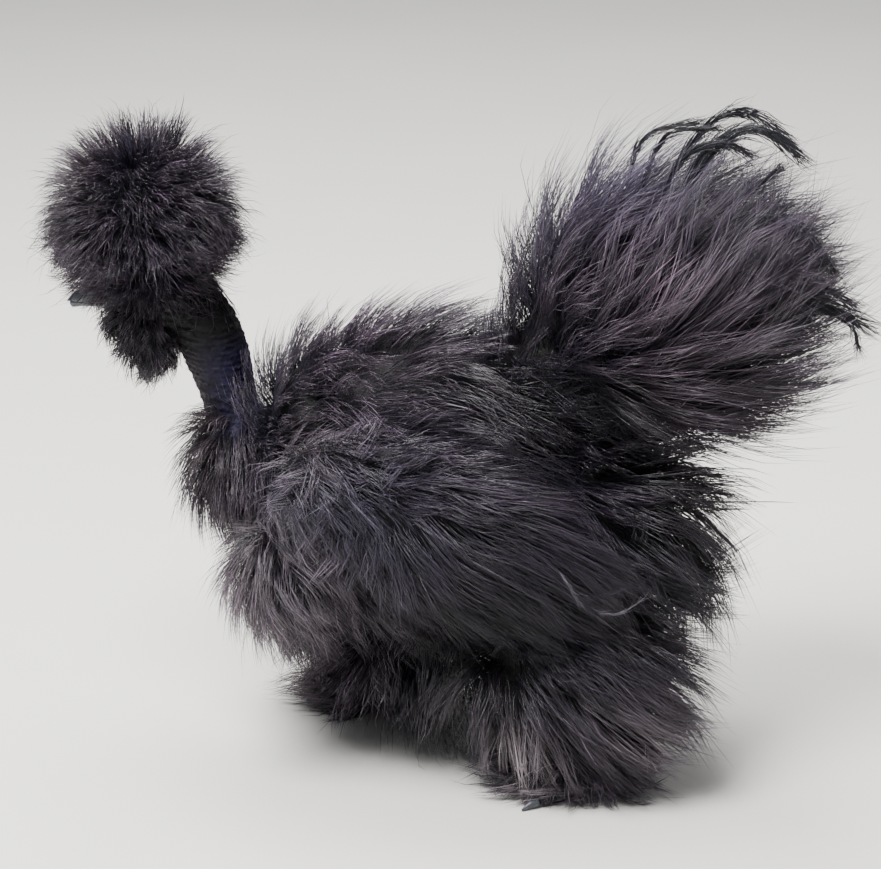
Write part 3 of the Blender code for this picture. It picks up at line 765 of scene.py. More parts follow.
def face_out(obj: bpy.types.Object) -> None:
    """Turns every face of a closed mesh outwards.

    Args:
        obj: The object with the closed mesh.
    """
    select_only([obj])
    bpy.ops.object.mode_set(mode="EDIT")
    bpy.ops.mesh.select_all(action="SELECT")
    bpy.ops.mesh.normals_make_consistent(inside=False)
    bpy.ops.object.mode_set(mode="OBJECT")


def add_egg(name: str, egg: Egg, subdivisions: int = 4) -> bpy.types.Object:
    """A ball stretched to an egg, in its place.

    Args:
        name: The object's name.
        egg: The shape.
        subdivisions: How finely the ball is divided.

    Returns:
        The new object.
    """
    deselect_all()
    bpy.ops.mesh.primitive_ico_sphere_add(subdivisions=subdivisions, radius=1.0)
    ball = bpy.context.object
    ball.name = name
    write_points(ball, placed(egg.point(unit_rows(read_points(ball)))))
    return ball


def add_drawn_ball(
    name: str,
    stations: Sequence[Station],
    around: int = 24,
    along: int = 28,
    across: float = 1.0,
    blunt: float = 0.08,
) -> bpy.types.Object:
    """A ball drawn out along a smooth path, as a potter draws out a handle.

    Args:
        name: The object's name.
        stations: Centres and radii along the path.
        around: Points in each ring.
        along: Rings from end to end.
        across: Width over height of the section.
        blunt: Share of the length that each round end takes.

    Returns:
        The closed object.
    """
    deselect_all()
    bpy.ops.mesh.primitive_uv_sphere_add(segments=around, ring_count=along, radius=1.0)
    ball = bpy.context.object
    ball.name = name
    points = read_points(ball)
    shares = np.arccos(np.clip(points[:, 2], -1, 1)) / math.pi
    rows = smooth_path(stations, shares)
    step = 0.01
    heading = smooth_path(stations, np.clip(shares + step, 0, 1))[:, :3]
    heading = unit_rows(heading - smooth_path(stations, np.clip(shares - step, 0, 1))[:, :3])
    sideways = np.cross(heading, np.array([0.0, 0.0, 1.0]))
    steep = np.linalg.norm(sideways, axis=1, keepdims=True) < 0.2
    sideways = unit_rows(np.where(steep, np.array([1.0, 0.0, 0.0]), sideways))
    above = unit_rows(np.cross(sideways, heading))
    ends = np.minimum(np.minimum(shares, 1 - shares) / blunt, 1.0)
    radius = (rows[:, 3] * np.sqrt(ends * (2 - ends)))[:, None]
    turn = unit_rows(points[:, :2] + 1e-12)
    moved = rows[:, :3] + (sideways * turn[:, :1] * across + above * turn[:, 1:2]) * radius
    write_points(ball, placed(moved))
    face_out(ball)
    return ball


def dress(
    obj: bpy.types.Object,
    material: bpy.types.Material,
    nodes: Iterable[str] = (),
) -> bpy.types.Object:
    """Gives a finished piece its material and its body, and hides the frame's nodes that it stands for.

    Args:
        obj: The finished piece.
        material: Its finish.
        nodes: The frame's nodes that it replaces.

    Returns:
        The same piece.
    """
    obj.data.materials.clear()
    obj.data.materials.append(material)
    obj.data.shade_smooth()
    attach(obj, Body.WHOLE.value)
    if nodes:
        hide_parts(*nodes)
    LOG.info("%s: %d faces", obj.name, len(obj.data.polygons))
    return obj


def set_colours(obj: bpy.types.Object, colours: np.ndarray) -> None:
    """Stores a linear colour for each vertex: marks and painted light together.

    Args:
        obj: The object.
        colours: Linear red, green and blue, one row each.
    """
    layer = obj.data.attributes.new("marks_and_painted_light", "FLOAT_COLOR", "POINT")
    rows = np.ones((len(colours), 4), np.float32)
    rows[:, :3] = colours
    layer.data.foreach_set("color", rows.ravel())


def ripple(points: np.ndarray, size: float, seed: int) -> np.ndarray:
    """A smooth random field from -1 to 1, as a sum of waves of one length.

    Args:
        points: Places in millimetres.
        size: The length of a wave in millimetres.
        seed: Which field to give.

    Returns:
        One value for each place.
    """
    draw = np.random.default_rng(seed)
    waves = unit_rows(draw.normal(size=(14, 3))) * (2 * math.pi / size) * draw.uniform(0.6, 1.5, (14, 1))
    return np.sin(points @ waves.T + draw.uniform(0, 2 * math.pi, 14)).sum(axis=1) / 5.0


@dataclass
class Skin:
    """The bird's one skin: head, comb, bare neck, shanks and toes, and the body under the coat."""

    voxel: float = 2.3
    fine_above: float = 158.0
    fine_below: float = 39.6
    bare_front: float = -84.0
    sink: float = 0.985
    socket_reach: float = 9.0
    socket_depth: float = 3.2
    lid_ring: float = 4.9
    lid_height: float = 1.5
    fold_gap: float = 2.4
    fold_height: float = 0.5
    neck_bottom: float = 150.0
    neck_crease: float = 0.42
    crease_length: float = 6.0
    pimple: float = 2.4
    pimple_height: float = 0.4
    scaled_below: float = 40.0
    scale: float = 3.0
    scale_height: float = 0.22
    under_coat: float = 0.14
    # The throat's own mulberry brown-black, with some painted warm bounce from the floor
    throat: str = "#17111c"
    # Painted bluish sheen of sky light on the dark skin at the back of the neck
    nape_painted_sheen: str = "#1c1936"
    # Near black on the face: partly its own black, partly painted shade under the crest
    face: str = "#0b0a0d"
    foot: str = "#25242c"

    def lumps(self) -> list[bpy.types.Object]:
        """The overlapping closed shapes that the skin is cast from.

        Returns:
            The shapes as objects.
        """
        eggs = [SKULL, VAULT, FACE, EARLOBE, EARLOBE.mirrored()]
        eggs += [Egg((0, -149, 234.5), (5.0, 5.5, 4.0))]
        for side in (-1, 1):
            eggs += [Egg((side * 3.6, -151.5, 233.5), (3.0, 3.0, 3.0))]
            eggs += [Egg((side * 3.8, -146.0, 236.5), (3.4, 3.4, 3.4))]
            eggs += [Egg((side * 4.5, -147.0, 214.0), (3.0, 3.6, 5.0))]
        cores = [TORSO_CORE, CAPE_CORE, BREAST_CORE, CROP_CORE, REAR_CORE, TAIL_CORE, TAIL_ROOT]
        cores += [CREST_CORE, BEARD_CORE, WING_CORE, WING_CORE.mirrored()]
        cores += [leg_egg(foot, LEG_CORE) for label, foot, side in FEET]
        eggs += [core.grown(self.sink) for core in cores]
        made = [add_egg("lump", egg) for egg in eggs]
        made.append(add_drawn_ball("neck", NECK_STATIONS, 32, 40))
        for label, foot, side in FEET:
            made += self.foot_lumps(foot, side)
        return made

    def foot_lumps(self, foot: tuple[float, float], side: int) -> list[bpy.types.Object]:
        """Shank, pad and toes of one foot.

        Args:
            foot: Where the toes meet the shank.
            side: 1 on the left and -1 on the right.

        Returns:
            The shapes as objects.
        """
        x, y = foot
        shank = (
            ((x, y, 7.0), SHANK_RADIUS + 1.0),
            ((x, y + HOCK_BEHIND * 0.5, HOCK_HEIGHT * 0.5), SHANK_RADIUS),
            ((x, y + HOCK_BEHIND, HOCK_HEIGHT), SHANK_RADIUS + 1.4),
        )
        made = [add_drawn_ball("shank", shank), add_egg("pad", Egg((x, y, 6), (8, 8, 6.5)))]
        for toe in TOES:
            start, tip, ahead = toe.line(foot, side)
            middle = (start + tip) / 2 + np.array([0, 0, 0.6])
            joints = (
                (tuple(start), toe.radius + 0.4),
                (tuple(start * 0.6 + tip * 0.4), toe.radius - 0.3),
                (tuple(middle), toe.radius + 0.2),
                (tuple(start * 0.25 + tip * 0.75), toe.radius - 0.5),
                (tuple(tip), toe.radius - 0.6),
            )
            made.append(add_drawn_ball("toe", joints, 16, 24))
        return made

    def cast(self) -> bpy.types.Object:
        """One closed skin from the lumps, with its bare parts in finer faces.

        Returns:
            The skin.
        """
        lumps = self.lumps()
        select_only(lumps)
        bpy.ops.object.join()
        skin = bpy.context.object
        skin.name = "skin"
        apply_modifier(skin, "REMESH", {"mode": "VOXEL", "voxel_size": self.voxel * MM})
        apply_modifier(skin, "SMOOTH", {"factor": 0.5, "iterations": 3})
        for _ in range(2):
            self.refine(skin)
        return skin

    def refine(self, skin: bpy.types.Object) -> None:
        """Subdivides the faces of the bare head, neck and feet.

        Args:
            skin: The skin.
        """
        select_only([skin])
        centres = read_rows(skin.data.polygons, "center") / MM - SHIFT
        bare = (centres[:, 1] < self.bare_front) & (centres[:, 2] > self.fine_above)
        bare &= ~CREST_CORE.grown(1.02).holds(centres)
        bare |= centres[:, 2] < self.fine_below
        skin.data.polygons.foreach_set("select", bare)
        skin.data.edges.foreach_set("select", np.zeros(len(skin.data.edges), bool))
        skin.data.vertices.foreach_set("select", np.zeros(len(skin.data.vertices), bool))
        bpy.context.tool_settings.mesh_select_mode = (False, False, True)
        bpy.ops.object.mode_set(mode="EDIT")
        bpy.ops.mesh.subdivide(number_cuts=1, smoothness=0.6)
        bpy.ops.object.mode_set(mode="OBJECT")

    def shape(self, skin: bpy.types.Object) -> None:
        """Presses in the eye sockets and raises lids, neck wrinkles and the scales of the feet.

        Args:
            skin: The skin.
        """
        points = measured(skin)
        normals = read_rows(skin.data.vertex_normals, "vector")
        rise = np.zeros(len(points))
        # The slit between the lids is a little longer than it is high
        away = np.hypot(points[:, 1] - EYE_CENTRE[1], (points[:, 2] - EYE_CENTRE[2]) * 1.12)
        eyed = (np.abs(points[:, 0]) > 6.0) & (away < self.socket_reach)
        lids = self.lid_height * np.exp(-(((away - self.lid_ring) / 1.0) ** 2))
        folds = self.fold_height * np.exp(-(((away - self.lid_ring - self.fold_gap) / 0.7) ** 2))
        socket = -self.socket_depth * (away < self.lid_ring - 1.0)
        rise += np.where(eyed, lids + folds + socket, 0.0)
        # Neck creases run round it, so their field is squeezed along z
        headed = (points[:, 1] < self.bare_front) & (points[:, 2] > self.neck_bottom) & ~eyed
        creases = ripple(points * np.array([0.5, 0.5, 2.0]), self.crease_length, 31)
        pimples = np.maximum(ripple(points, self.pimple, 32), 0)
        rise += np.where(headed, self.neck_crease * creases + self.pimple_height * pimples, 0.0)
        scales = np.maximum(ripple(points * np.array([1, 1, 1.5]), self.scale, 33), -0.2)
        rise += np.where(points[:, 2] < self.scaled_below, self.scale_height * scales, 0)
        points += normals * rise[:, None]
        points[:, 2] = np.maximum(points[:, 2], 0.0)
        write_points(skin, placed(points))

    def colour(self, skin: bpy.types.Object) -> None:
        """Colours the skin: indigo at the back of the neck, a painted bluish sheen on the dark skin;
        brown-black at the throat, its own mulberry with some painted bounce from the floor; near black on
        the face, partly its own black and partly painted shade under the crest; and below them the coat's
        marks and painted light.

        Args:
            skin: The skin.
        """
        points = measured(skin)
        colours = coat_colours(points) * self.under_coat
        bare = np.clip((points[:, 2] - 152) / 12, 0, 1) * (points[:, 1] < -80)
        top, bottom = NECK_STATIONS[0][0][2], NECK_STATIONS[-1][0][2]
        middle = smooth_path(NECK_STATIONS, np.clip((top - points[:, 2]) / (top - bottom), 0, 1))
        # Towards the back of the neck the colour turns indigo: a painted bluish sheen of sky light on the
        # dark skin
        back = np.clip((points[:, 1] - middle[:, 1]) / 16 + 0.5, 0, 1)[:, None]
        # Above the neck the face goes near black: partly its own black, partly painted shade under the crest
        low = np.clip((212 - points[:, 2]) / 22, 0, 1)[:, None]
        neck = blend(linear(self.throat), linear(self.nape_painted_sheen), back)
        neck = neck * low + linear(self.face) * (1 - low)
        feet = np.clip((46 - points[:, 2]) / 8, 0, 1)[:, None]
        colours = blend(colours, neck, bare[:, None])
        set_colours(skin, blend(colours, linear(self.foot), feet))

    def build(self, material: bpy.types.Material) -> bpy.types.Object:
        """Casts, shapes, colours and dresses the skin.

        Args:
            material: Its finish.

        Returns:
            The dressed skin.
        """
        skin = self.cast()
        self.shape(skin)
        self.colour(skin)
        nodes = ["head", "comb", "neck", "foot_left", "foot_right"]
        return dress(skin, material, nodes)


@dataclass
class Head:
    """What is set in the head's skin: eyes and beak."""

    cornea_height: float = 0.5
    cornea_radius: float = 2.2
    across: float = 0.8
    gape: float = 0.5
    ridge_height: float = 0.5
    hook_from: float = -169.5
    hook_drop: float = 1.2
    lower_end: float = -170.5
    lower_across: float = 0.94
    nostril: Point = (4.4, -156.0, 226.2)
    nostril_depth: float = 1.3
    flap_rise: float = 1.5
    flap_height: float = 0.4

    def eye(self, label: str, side: int, material: bpy.types.Material) -> bpy.types.Object:
        """One eyeball with its cornea raised.

        Args:
            label: The name of its side.
            side: 1 on the left and -1 on the right.
            material: Its finish.

        Returns:
            The dressed eye.
        """
        x, y, z = EYE_CENTRE
        eye = add_egg(f"eyeball_{label}", Egg((side * x, y, z), (EYE_RADIUS,) * 3))
        points = measured(eye)
        away = np.hypot(points[:, 1] - y, points[:, 2] - z)
        outer = points[:, 0] * side > x
        bulge = self.cornea_height * np.exp(-((away / self.cornea_radius) ** 2))
        points[:, 0] += side * np.where(outer, bulge, 0)
        write_points(eye, placed(points))
        return dress(eye, material, [f"eye_{label}"])

    def jaw(self, name: str, upper: bool) -> bpy.types.Object:
        """One half of the beak, cut along the line of the mouth.

        Args:
            name: The object's name.
            upper: Whether it is the upper half.

        Returns:
            The half, closed along its cut.
        """
        half = add_drawn_ball(name, BEAK_STATIONS, 40, 60, self.across, 0.05)
        level = (MOUTH_Z + (self.gape if upper else -self.gape) / 2 + SHIFT[2]) * MM
        select_only([half])
        bpy.ops.object.mode_set(mode="EDIT")
        bpy.ops.mesh.select_all(action="SELECT")
        bpy.ops.mesh.bisect(
            plane_co=(0, 0, level),
            plane_no=(0, 0, 1),
            use_fill=True,
            clear_inner=upper,
            clear_outer=not upper,
        )
        bpy.ops.object.mode_set(mode="OBJECT")
        return half

    def upper(self, material: bpy.types.Material) -> bpy.types.Object:
        """The upper beak: ridged, hooked a little, with its nostrils pressed in under a flap.

        Args:
            material: Its horn.

        Returns:
            The dressed beak.
        """
        beak = self.jaw("beak_top", True)
        points = measured(beak)
        ridge = np.exp(-((points[:, 0] / 1.6) ** 2)) * (points[:, 2] > 224)
        points[:, 2] += self.ridge_height * ridge
        for side in (-1, 1):
            centre = np.array(self.nostril) * np.array([side, 1, 1])
            offset = (points - centre) / np.array([2.4, 2.4, 1.1])
            dent = self.nostril_depth * np.exp(-(offset**2).sum(axis=1))
            points[:, 0] -= side * dent * (points[:, 0] * side > 0)
            offset = (points - centre - np.array([0, 0, self.flap_rise])) / np.array([2.4, 2.6, 0.8])
            flap = self.flap_height * np.exp(-(offset**2).sum(axis=1))
            points[:, 0] += side * flap * (points[:, 0] * side > 0)
        end = np.clip((self.hook_from - points[:, 1]) / 3, 0, 1)
        points[:, 2] -= self.hook_drop * end**2
        write_points(beak, placed(points))
        return dress(beak, material, ["beak_upper"])

    def lower(self, material: bpy.types.Material) -> bpy.types.Object:
        """The lower beak, shorter and narrower, inside the rim of the upper one.

        Args:
            material: Its horn.

        Returns:
            The dressed beak.
        """
        beak = self.jaw("beak_bottom", False)
        points = measured(beak)
        base = BEAK_STATIONS[0][0][1]
        shrink = (self.lower_end - base) / (BEAK_STATIONS[-1][0][1] - base)
        points[:, 1] = base + (points[:, 1] - base) * shrink
        points[:, 0] *= self.lower_across
        write_points(beak, placed(points))
        return dress(beak, material, ["beak_lower"])

    def build(self, horn: bpy.types.Material, eye: bpy.types.Material) -> None:
        """Builds the eyes and the beak.

        Args:
            horn: The finish of the beak.
            eye: The finish of the eyes.
        """
        for label, side in SIDES:
            self.eye(label, side, eye)
        self.upper(horn)
        self.lower(horn)


@dataclass
class Claws:
    """The ten curved claws, each in front of its toe."""

    start: float = -1.2

    def build(self, material: bpy.types.Material) -> None:
        """Builds each claw as a ball drawn out to a point that curves down.

        Args:
            material: The horn.
        """
        for label, foot, side in FEET:
            for toe in TOES:
                name = f"claw_{label}_{toe.name}"
                self.claw(name, foot, side, toe, material)

    def claw(
        self,
        name: str,
        foot: tuple[float, float],
        side: int,
        toe: Toe,
        material: bpy.types.Material,
    ) -> bpy.types.Object:
        """One claw, rooted a little way in its toe.

        Args:
            name: The frame's node that it stands for.
            foot: Where the toes meet the shank.
            side: 1 on the left and -1 on the right.
            toe: The toe that carries it.
            material: Its horn.

        Returns:
            The dressed claw.
        """
        start, tip, ahead = toe.line(foot, side)
        droop = np.array([0, 0, -min(tip[2] - 1.6, 3.0)])
        stations = (
            (tuple(tip + ahead * self.start), toe.radius - 1.3),
            (tuple(tip + ahead * CLAW_LENGTH * 0.45 + droop * 0.15), toe.radius - 1.8),
            (tuple(tip + ahead * CLAW_LENGTH + droop), 0.4),
        )
        claw = add_drawn_ball(f"{name}_horn", stations, 20, 24, 0.85, 0.12)
        points = read_points(claw)
        points[:, 2] = np.maximum(points[:, 2], 0.0)
        write_points(claw, points)
        return dress(claw, material, [name])


def leg_egg(foot: tuple[float, float], egg: Egg) -> Egg:
    """A shape of the leg's coat, set from its foot and its side.

    Args:
        foot: Where the toes meet the shank.
        egg: The left leg's shape, with y from its own middle.

    Returns:
        The shape in its place.
    """
    x, y, z = egg.centre
    side = 1 if foot[0] > 0 else -1
    return Egg((side * x, foot[1] + LEG_COAT_BEHIND + y, z), egg.half, egg.pitch)


def on_side(side: int, *eggs: Egg) -> tuple[Egg, ...]:
    """Shapes of the left side, or their mirror images where the side is -1."""
    return tuple(egg if side > 0 else egg.mirrored() for egg in eggs)


def even_directions(count: int) -> np.ndarray:
    """Unit vectors spread evenly on every side, one row each.

    Args:
        count: How many.

    Returns:
        One row for each.
    """
    index = np.arange(count)
    height = 1 - (2 * index + 1) / count
    ring = np.sqrt(1 - height**2)
    angle = math.pi * (3 - math.sqrt(5)) * index
    return np.stack([ring * np.cos(angle), ring * np.sin(angle), height], axis=1)


def crest_lie(points: np.ndarray) -> np.ndarray:
    """A ball of down that stands out on every side and leans down a little."""
    spread = (points - np.array(CREST_CORE.centre)) / CREST_CORE.half[0]
    return np.stack([spread[:, 0], spread[:, 1], np.full(len(spread), -0.3)], axis=1) * 0.45


def steady_lie(x: float, y: float, z: float) -> Lie:
    """A lie with one direction all over.

    Args:
        x: Its part away from the bird's middle.
        y: Its part towards the tail.
        z: Its part upwards.

    Returns:
        The lie.
    """

    def lie(points: np.ndarray) -> np.ndarray:
        """The direction at each point.

        Args:
            points: Places in the bird's measure.

        Returns:
            One direction for each place.
        """
        out = np.sign(points[:, 0]) * x
        return np.stack([out, np.full(len(points), y), np.full(len(points), z)], axis=1)

    return lie


def fan_lie(whorl: Point, fall: Point) -> Lie:
    """A lie that opens out from a whorl and falls.

    Args:
        whorl: The whorl on the left; the right has its mirror image.
        fall: What is added to the direction away from the whorl.

    Returns:
        The lie.
    """

    def lie(points: np.ndarray) -> np.ndarray:
        """The direction at each point.

        Args:
            points: Places in the bird's measure.

        Returns:
            One direction for each place.
        """
        hearts = np.tile(np.array(whorl), (len(points), 1))
        hearts[:, 0] *= np.sign(points[:, 0])
        return unit_rows(unit_rows(points - hearts) + np.array(fall))

    return lie


def torso_lie(points: np.ndarray) -> np.ndarray:
    """Back along the spine, and falling on the flanks."""
    low = np.maximum(0.0, (TORSO_CORE.centre[2] - points[:, 2]) / 60)
    return unit_rows(np.stack([0 * low, 0 * low + 1.0, -0.35 - 0.8 * low], axis=1))


def tail_lie(points: np.ndarray) -> np.ndarray:
    """A fan from the root of the tail: up at its front, back at its rear and drooping below.

    Args:
        points: Places in the bird's measure.

    Returns:
        One direction for each place.
    """
    low = np.clip((TAIL_CORE.centre[2] - points[:, 2]) / TAIL_CORE.half[2], 0, 1)
    droop = np.stack([0 * low, 0.1 + 0 * low, 0.2 - 0.95 * low], axis=1)
    return unit_rows(unit_rows(points - np.array(TAIL_FAN)) + droop)


def wing_lie(points: np.ndarray) -> np.ndarray:
    """Steeply down at the shoulder and nearly level towards the tip.

    Args:
        points: Places in the bird's measure.

    Returns:
        One direction for each place.
    """
    share = np.clip((points[:, 1] - WING_FRONT) / WING_RUN, 0, 1)
    droop = np.radians(58 - 38 * share)
    return np.stack([0 * droop, np.cos(droop), -np.sin(droop)], axis=1) * (0.6 + 0.4 * share)[:, None]


def slipper_lie(foot: tuple[float, float]) -> Lie:
    """A lie that spreads from a foot on every side and falls to the floor.

    Args:
        foot: Where the toes meet the shank.

    Returns:
        The lie.
    """

    def lie(points: np.ndarray) -> np.ndarray:
        """The direction at each point.

        Args:
            points: Places in the bird's measure.

        Returns:
            One direction for each place.
        """
        away = points - np.array([foot[0], foot[1], 0.0])
        away[:, 2] = 0.0
        return unit_rows(unit_rows(away) + np.array([0, 0.1, -0.4]))

    return lie


@dataclass
class Strands:
    """Fine closed strands that taper to a point, ready to become one object.

    Attributes:
        points: Each strand's points from root to tip, as strands by points by 3.
        normals: A direction out of the skin for each strand.
        widths: How broad each is at its broadest.
        colours: The linear colour of each.
        places: Where each is on the unwrap of the skin.
    """

    points: np.ndarray
    normals: np.ndarray
    widths: np.ndarray
    colours: np.ndarray
    places: np.ndarray

    CORNERS = np.radians([90.0, 210.0, 330.0])
    GIRTH_AT = (0.0, 0.33, 0.75)
    GIRTH = (0.6, 1.0, 0.75)
    FLATNESS = 0.7
    PATCH = 0.003

    def some(self, chosen: np.ndarray) -> "Strands":
        """The strands that a mask chooses."""
        return Strands(*(getattr(self, item.name)[chosen] for item in fields(self)))

    def corners(self) -> np.ndarray:
        """Every vertex: three to a ring, and one at the tip.

        Returns:
            Points as strands by vertices by 3.
        """
        total, rings = len(self.points), self.points.shape[1] - 1
        shares = np.arange(rings) / rings
        girth = np.interp(shares, self.GIRTH_AT, self.GIRTH)[None, :, None, None]
        heading = unit_rows(self.points[:, 1:] - self.points[:, :-1])
        sideways = unit_rows(np.cross(heading, self.normals[:, None]))
        above = np.cross(sideways, heading) * self.FLATNESS
        ring = sideways[:, :, None] * np.cos(self.CORNERS)[None, None, :, None]
        ring = ring + above[:, :, None] * np.sin(self.CORNERS)[None, None, :, None]
        ring = self.points[:, :-1, None] + ring * girth * self.widths[:, None, None, None] / 2
        return np.concatenate([ring.reshape(total, rings * 3, 3), self.points[:, -1:]], axis=1)

    @staticmethod
    def faces(rings: int) -> tuple[np.ndarray, np.ndarray]:
        """The faces of one closed strand.

        Args:
            rings: How many rings it has.

        Returns:
            The corners of its faces in a row, and how many each face has.
        """
        faces = [[0, 1, 2]]
        for ring in range(rings - 1):
            for side in range(3):
                here, there = ring * 3 + side, ring * 3 + (side + 1) % 3
                faces.append([here, here + 3, there + 3, there])
        last = (rings - 1) * 3
        faces += [[last + side, rings * 3, last + (side + 1) % 3] for side in range(3)]
        return np.concatenate(faces), np.array([len(face) for face in faces])

    def object(self, name: str) -> bpy.types.Object:
        """One object of all the strands, with its bake map and its attributes.

        Args:
            name: The object's name.

        Returns:
            The new object.
        """
        total, rings = len(self.points), self.points.shape[1] - 1
        each = rings * 3 + 1
        corners, sizes = self.faces(rings)
        loops = ((np.arange(total) * each)[:, None] + corners[None]).ravel()
        totals = np.tile(sizes, total)
        mesh = bpy.data.meshes.new(name)
        mesh.vertices.add(total * each)
        mesh.vertices.foreach_set("co", placed(self.corners()).astype(np.float32).ravel())
        mesh.loops.add(len(loops))
        mesh.loops.foreach_set("vertex_index", loops.astype(np.int32))
        mesh.polygons.add(len(totals))
        first = np.concatenate([[0], np.cumsum(totals)[:-1]])
        mesh.polygons.foreach_set("loop_start", first.astype(np.int32))
        mesh.update(calc_edges=True)
        along = np.append(np.repeat(np.arange(rings) / rings, 3), 1.0)
        corner = np.append(np.tile([0.0, 0.5, 1.0], rings), 0.5)
        spot = np.stack([corner * 0.12, along * 0.4], axis=1) * self.PATCH
        bake = (self.places[:, None] + spot[None]).reshape(-1, 2)
        layer = mesh.uv_layers.new(name="OFBake")
        layer.data.foreach_set("uv", bake[loops].astype(np.float32).ravel())
        obj = bpy.data.objects.new(name, mesh)
        bpy.context.scene.collection.objects.link(obj)
        set_colours(obj, np.repeat(self.colours, each, axis=0))
        level = mesh.attributes.new("along", "FLOAT", "POINT")
        level.data.foreach_set("value", np.tile(along, total).astype(np.float32))
        LOG.info("%s: %d triangles", name, total * (rings * 6 - 2))
        return obj


def skin_places(units: np.ndarray) -> np.ndarray:
    """Where some directions of a core fall on its unwrap, from 0 to 1."""
    turn = np.arctan2(units[:, 1], units[:, 0]) / (2 * math.pi) + 0.5
    return np.stack([turn, np.arccos(np.clip(-units[:, 2], -1, 1)) / math.pi], axis=1)


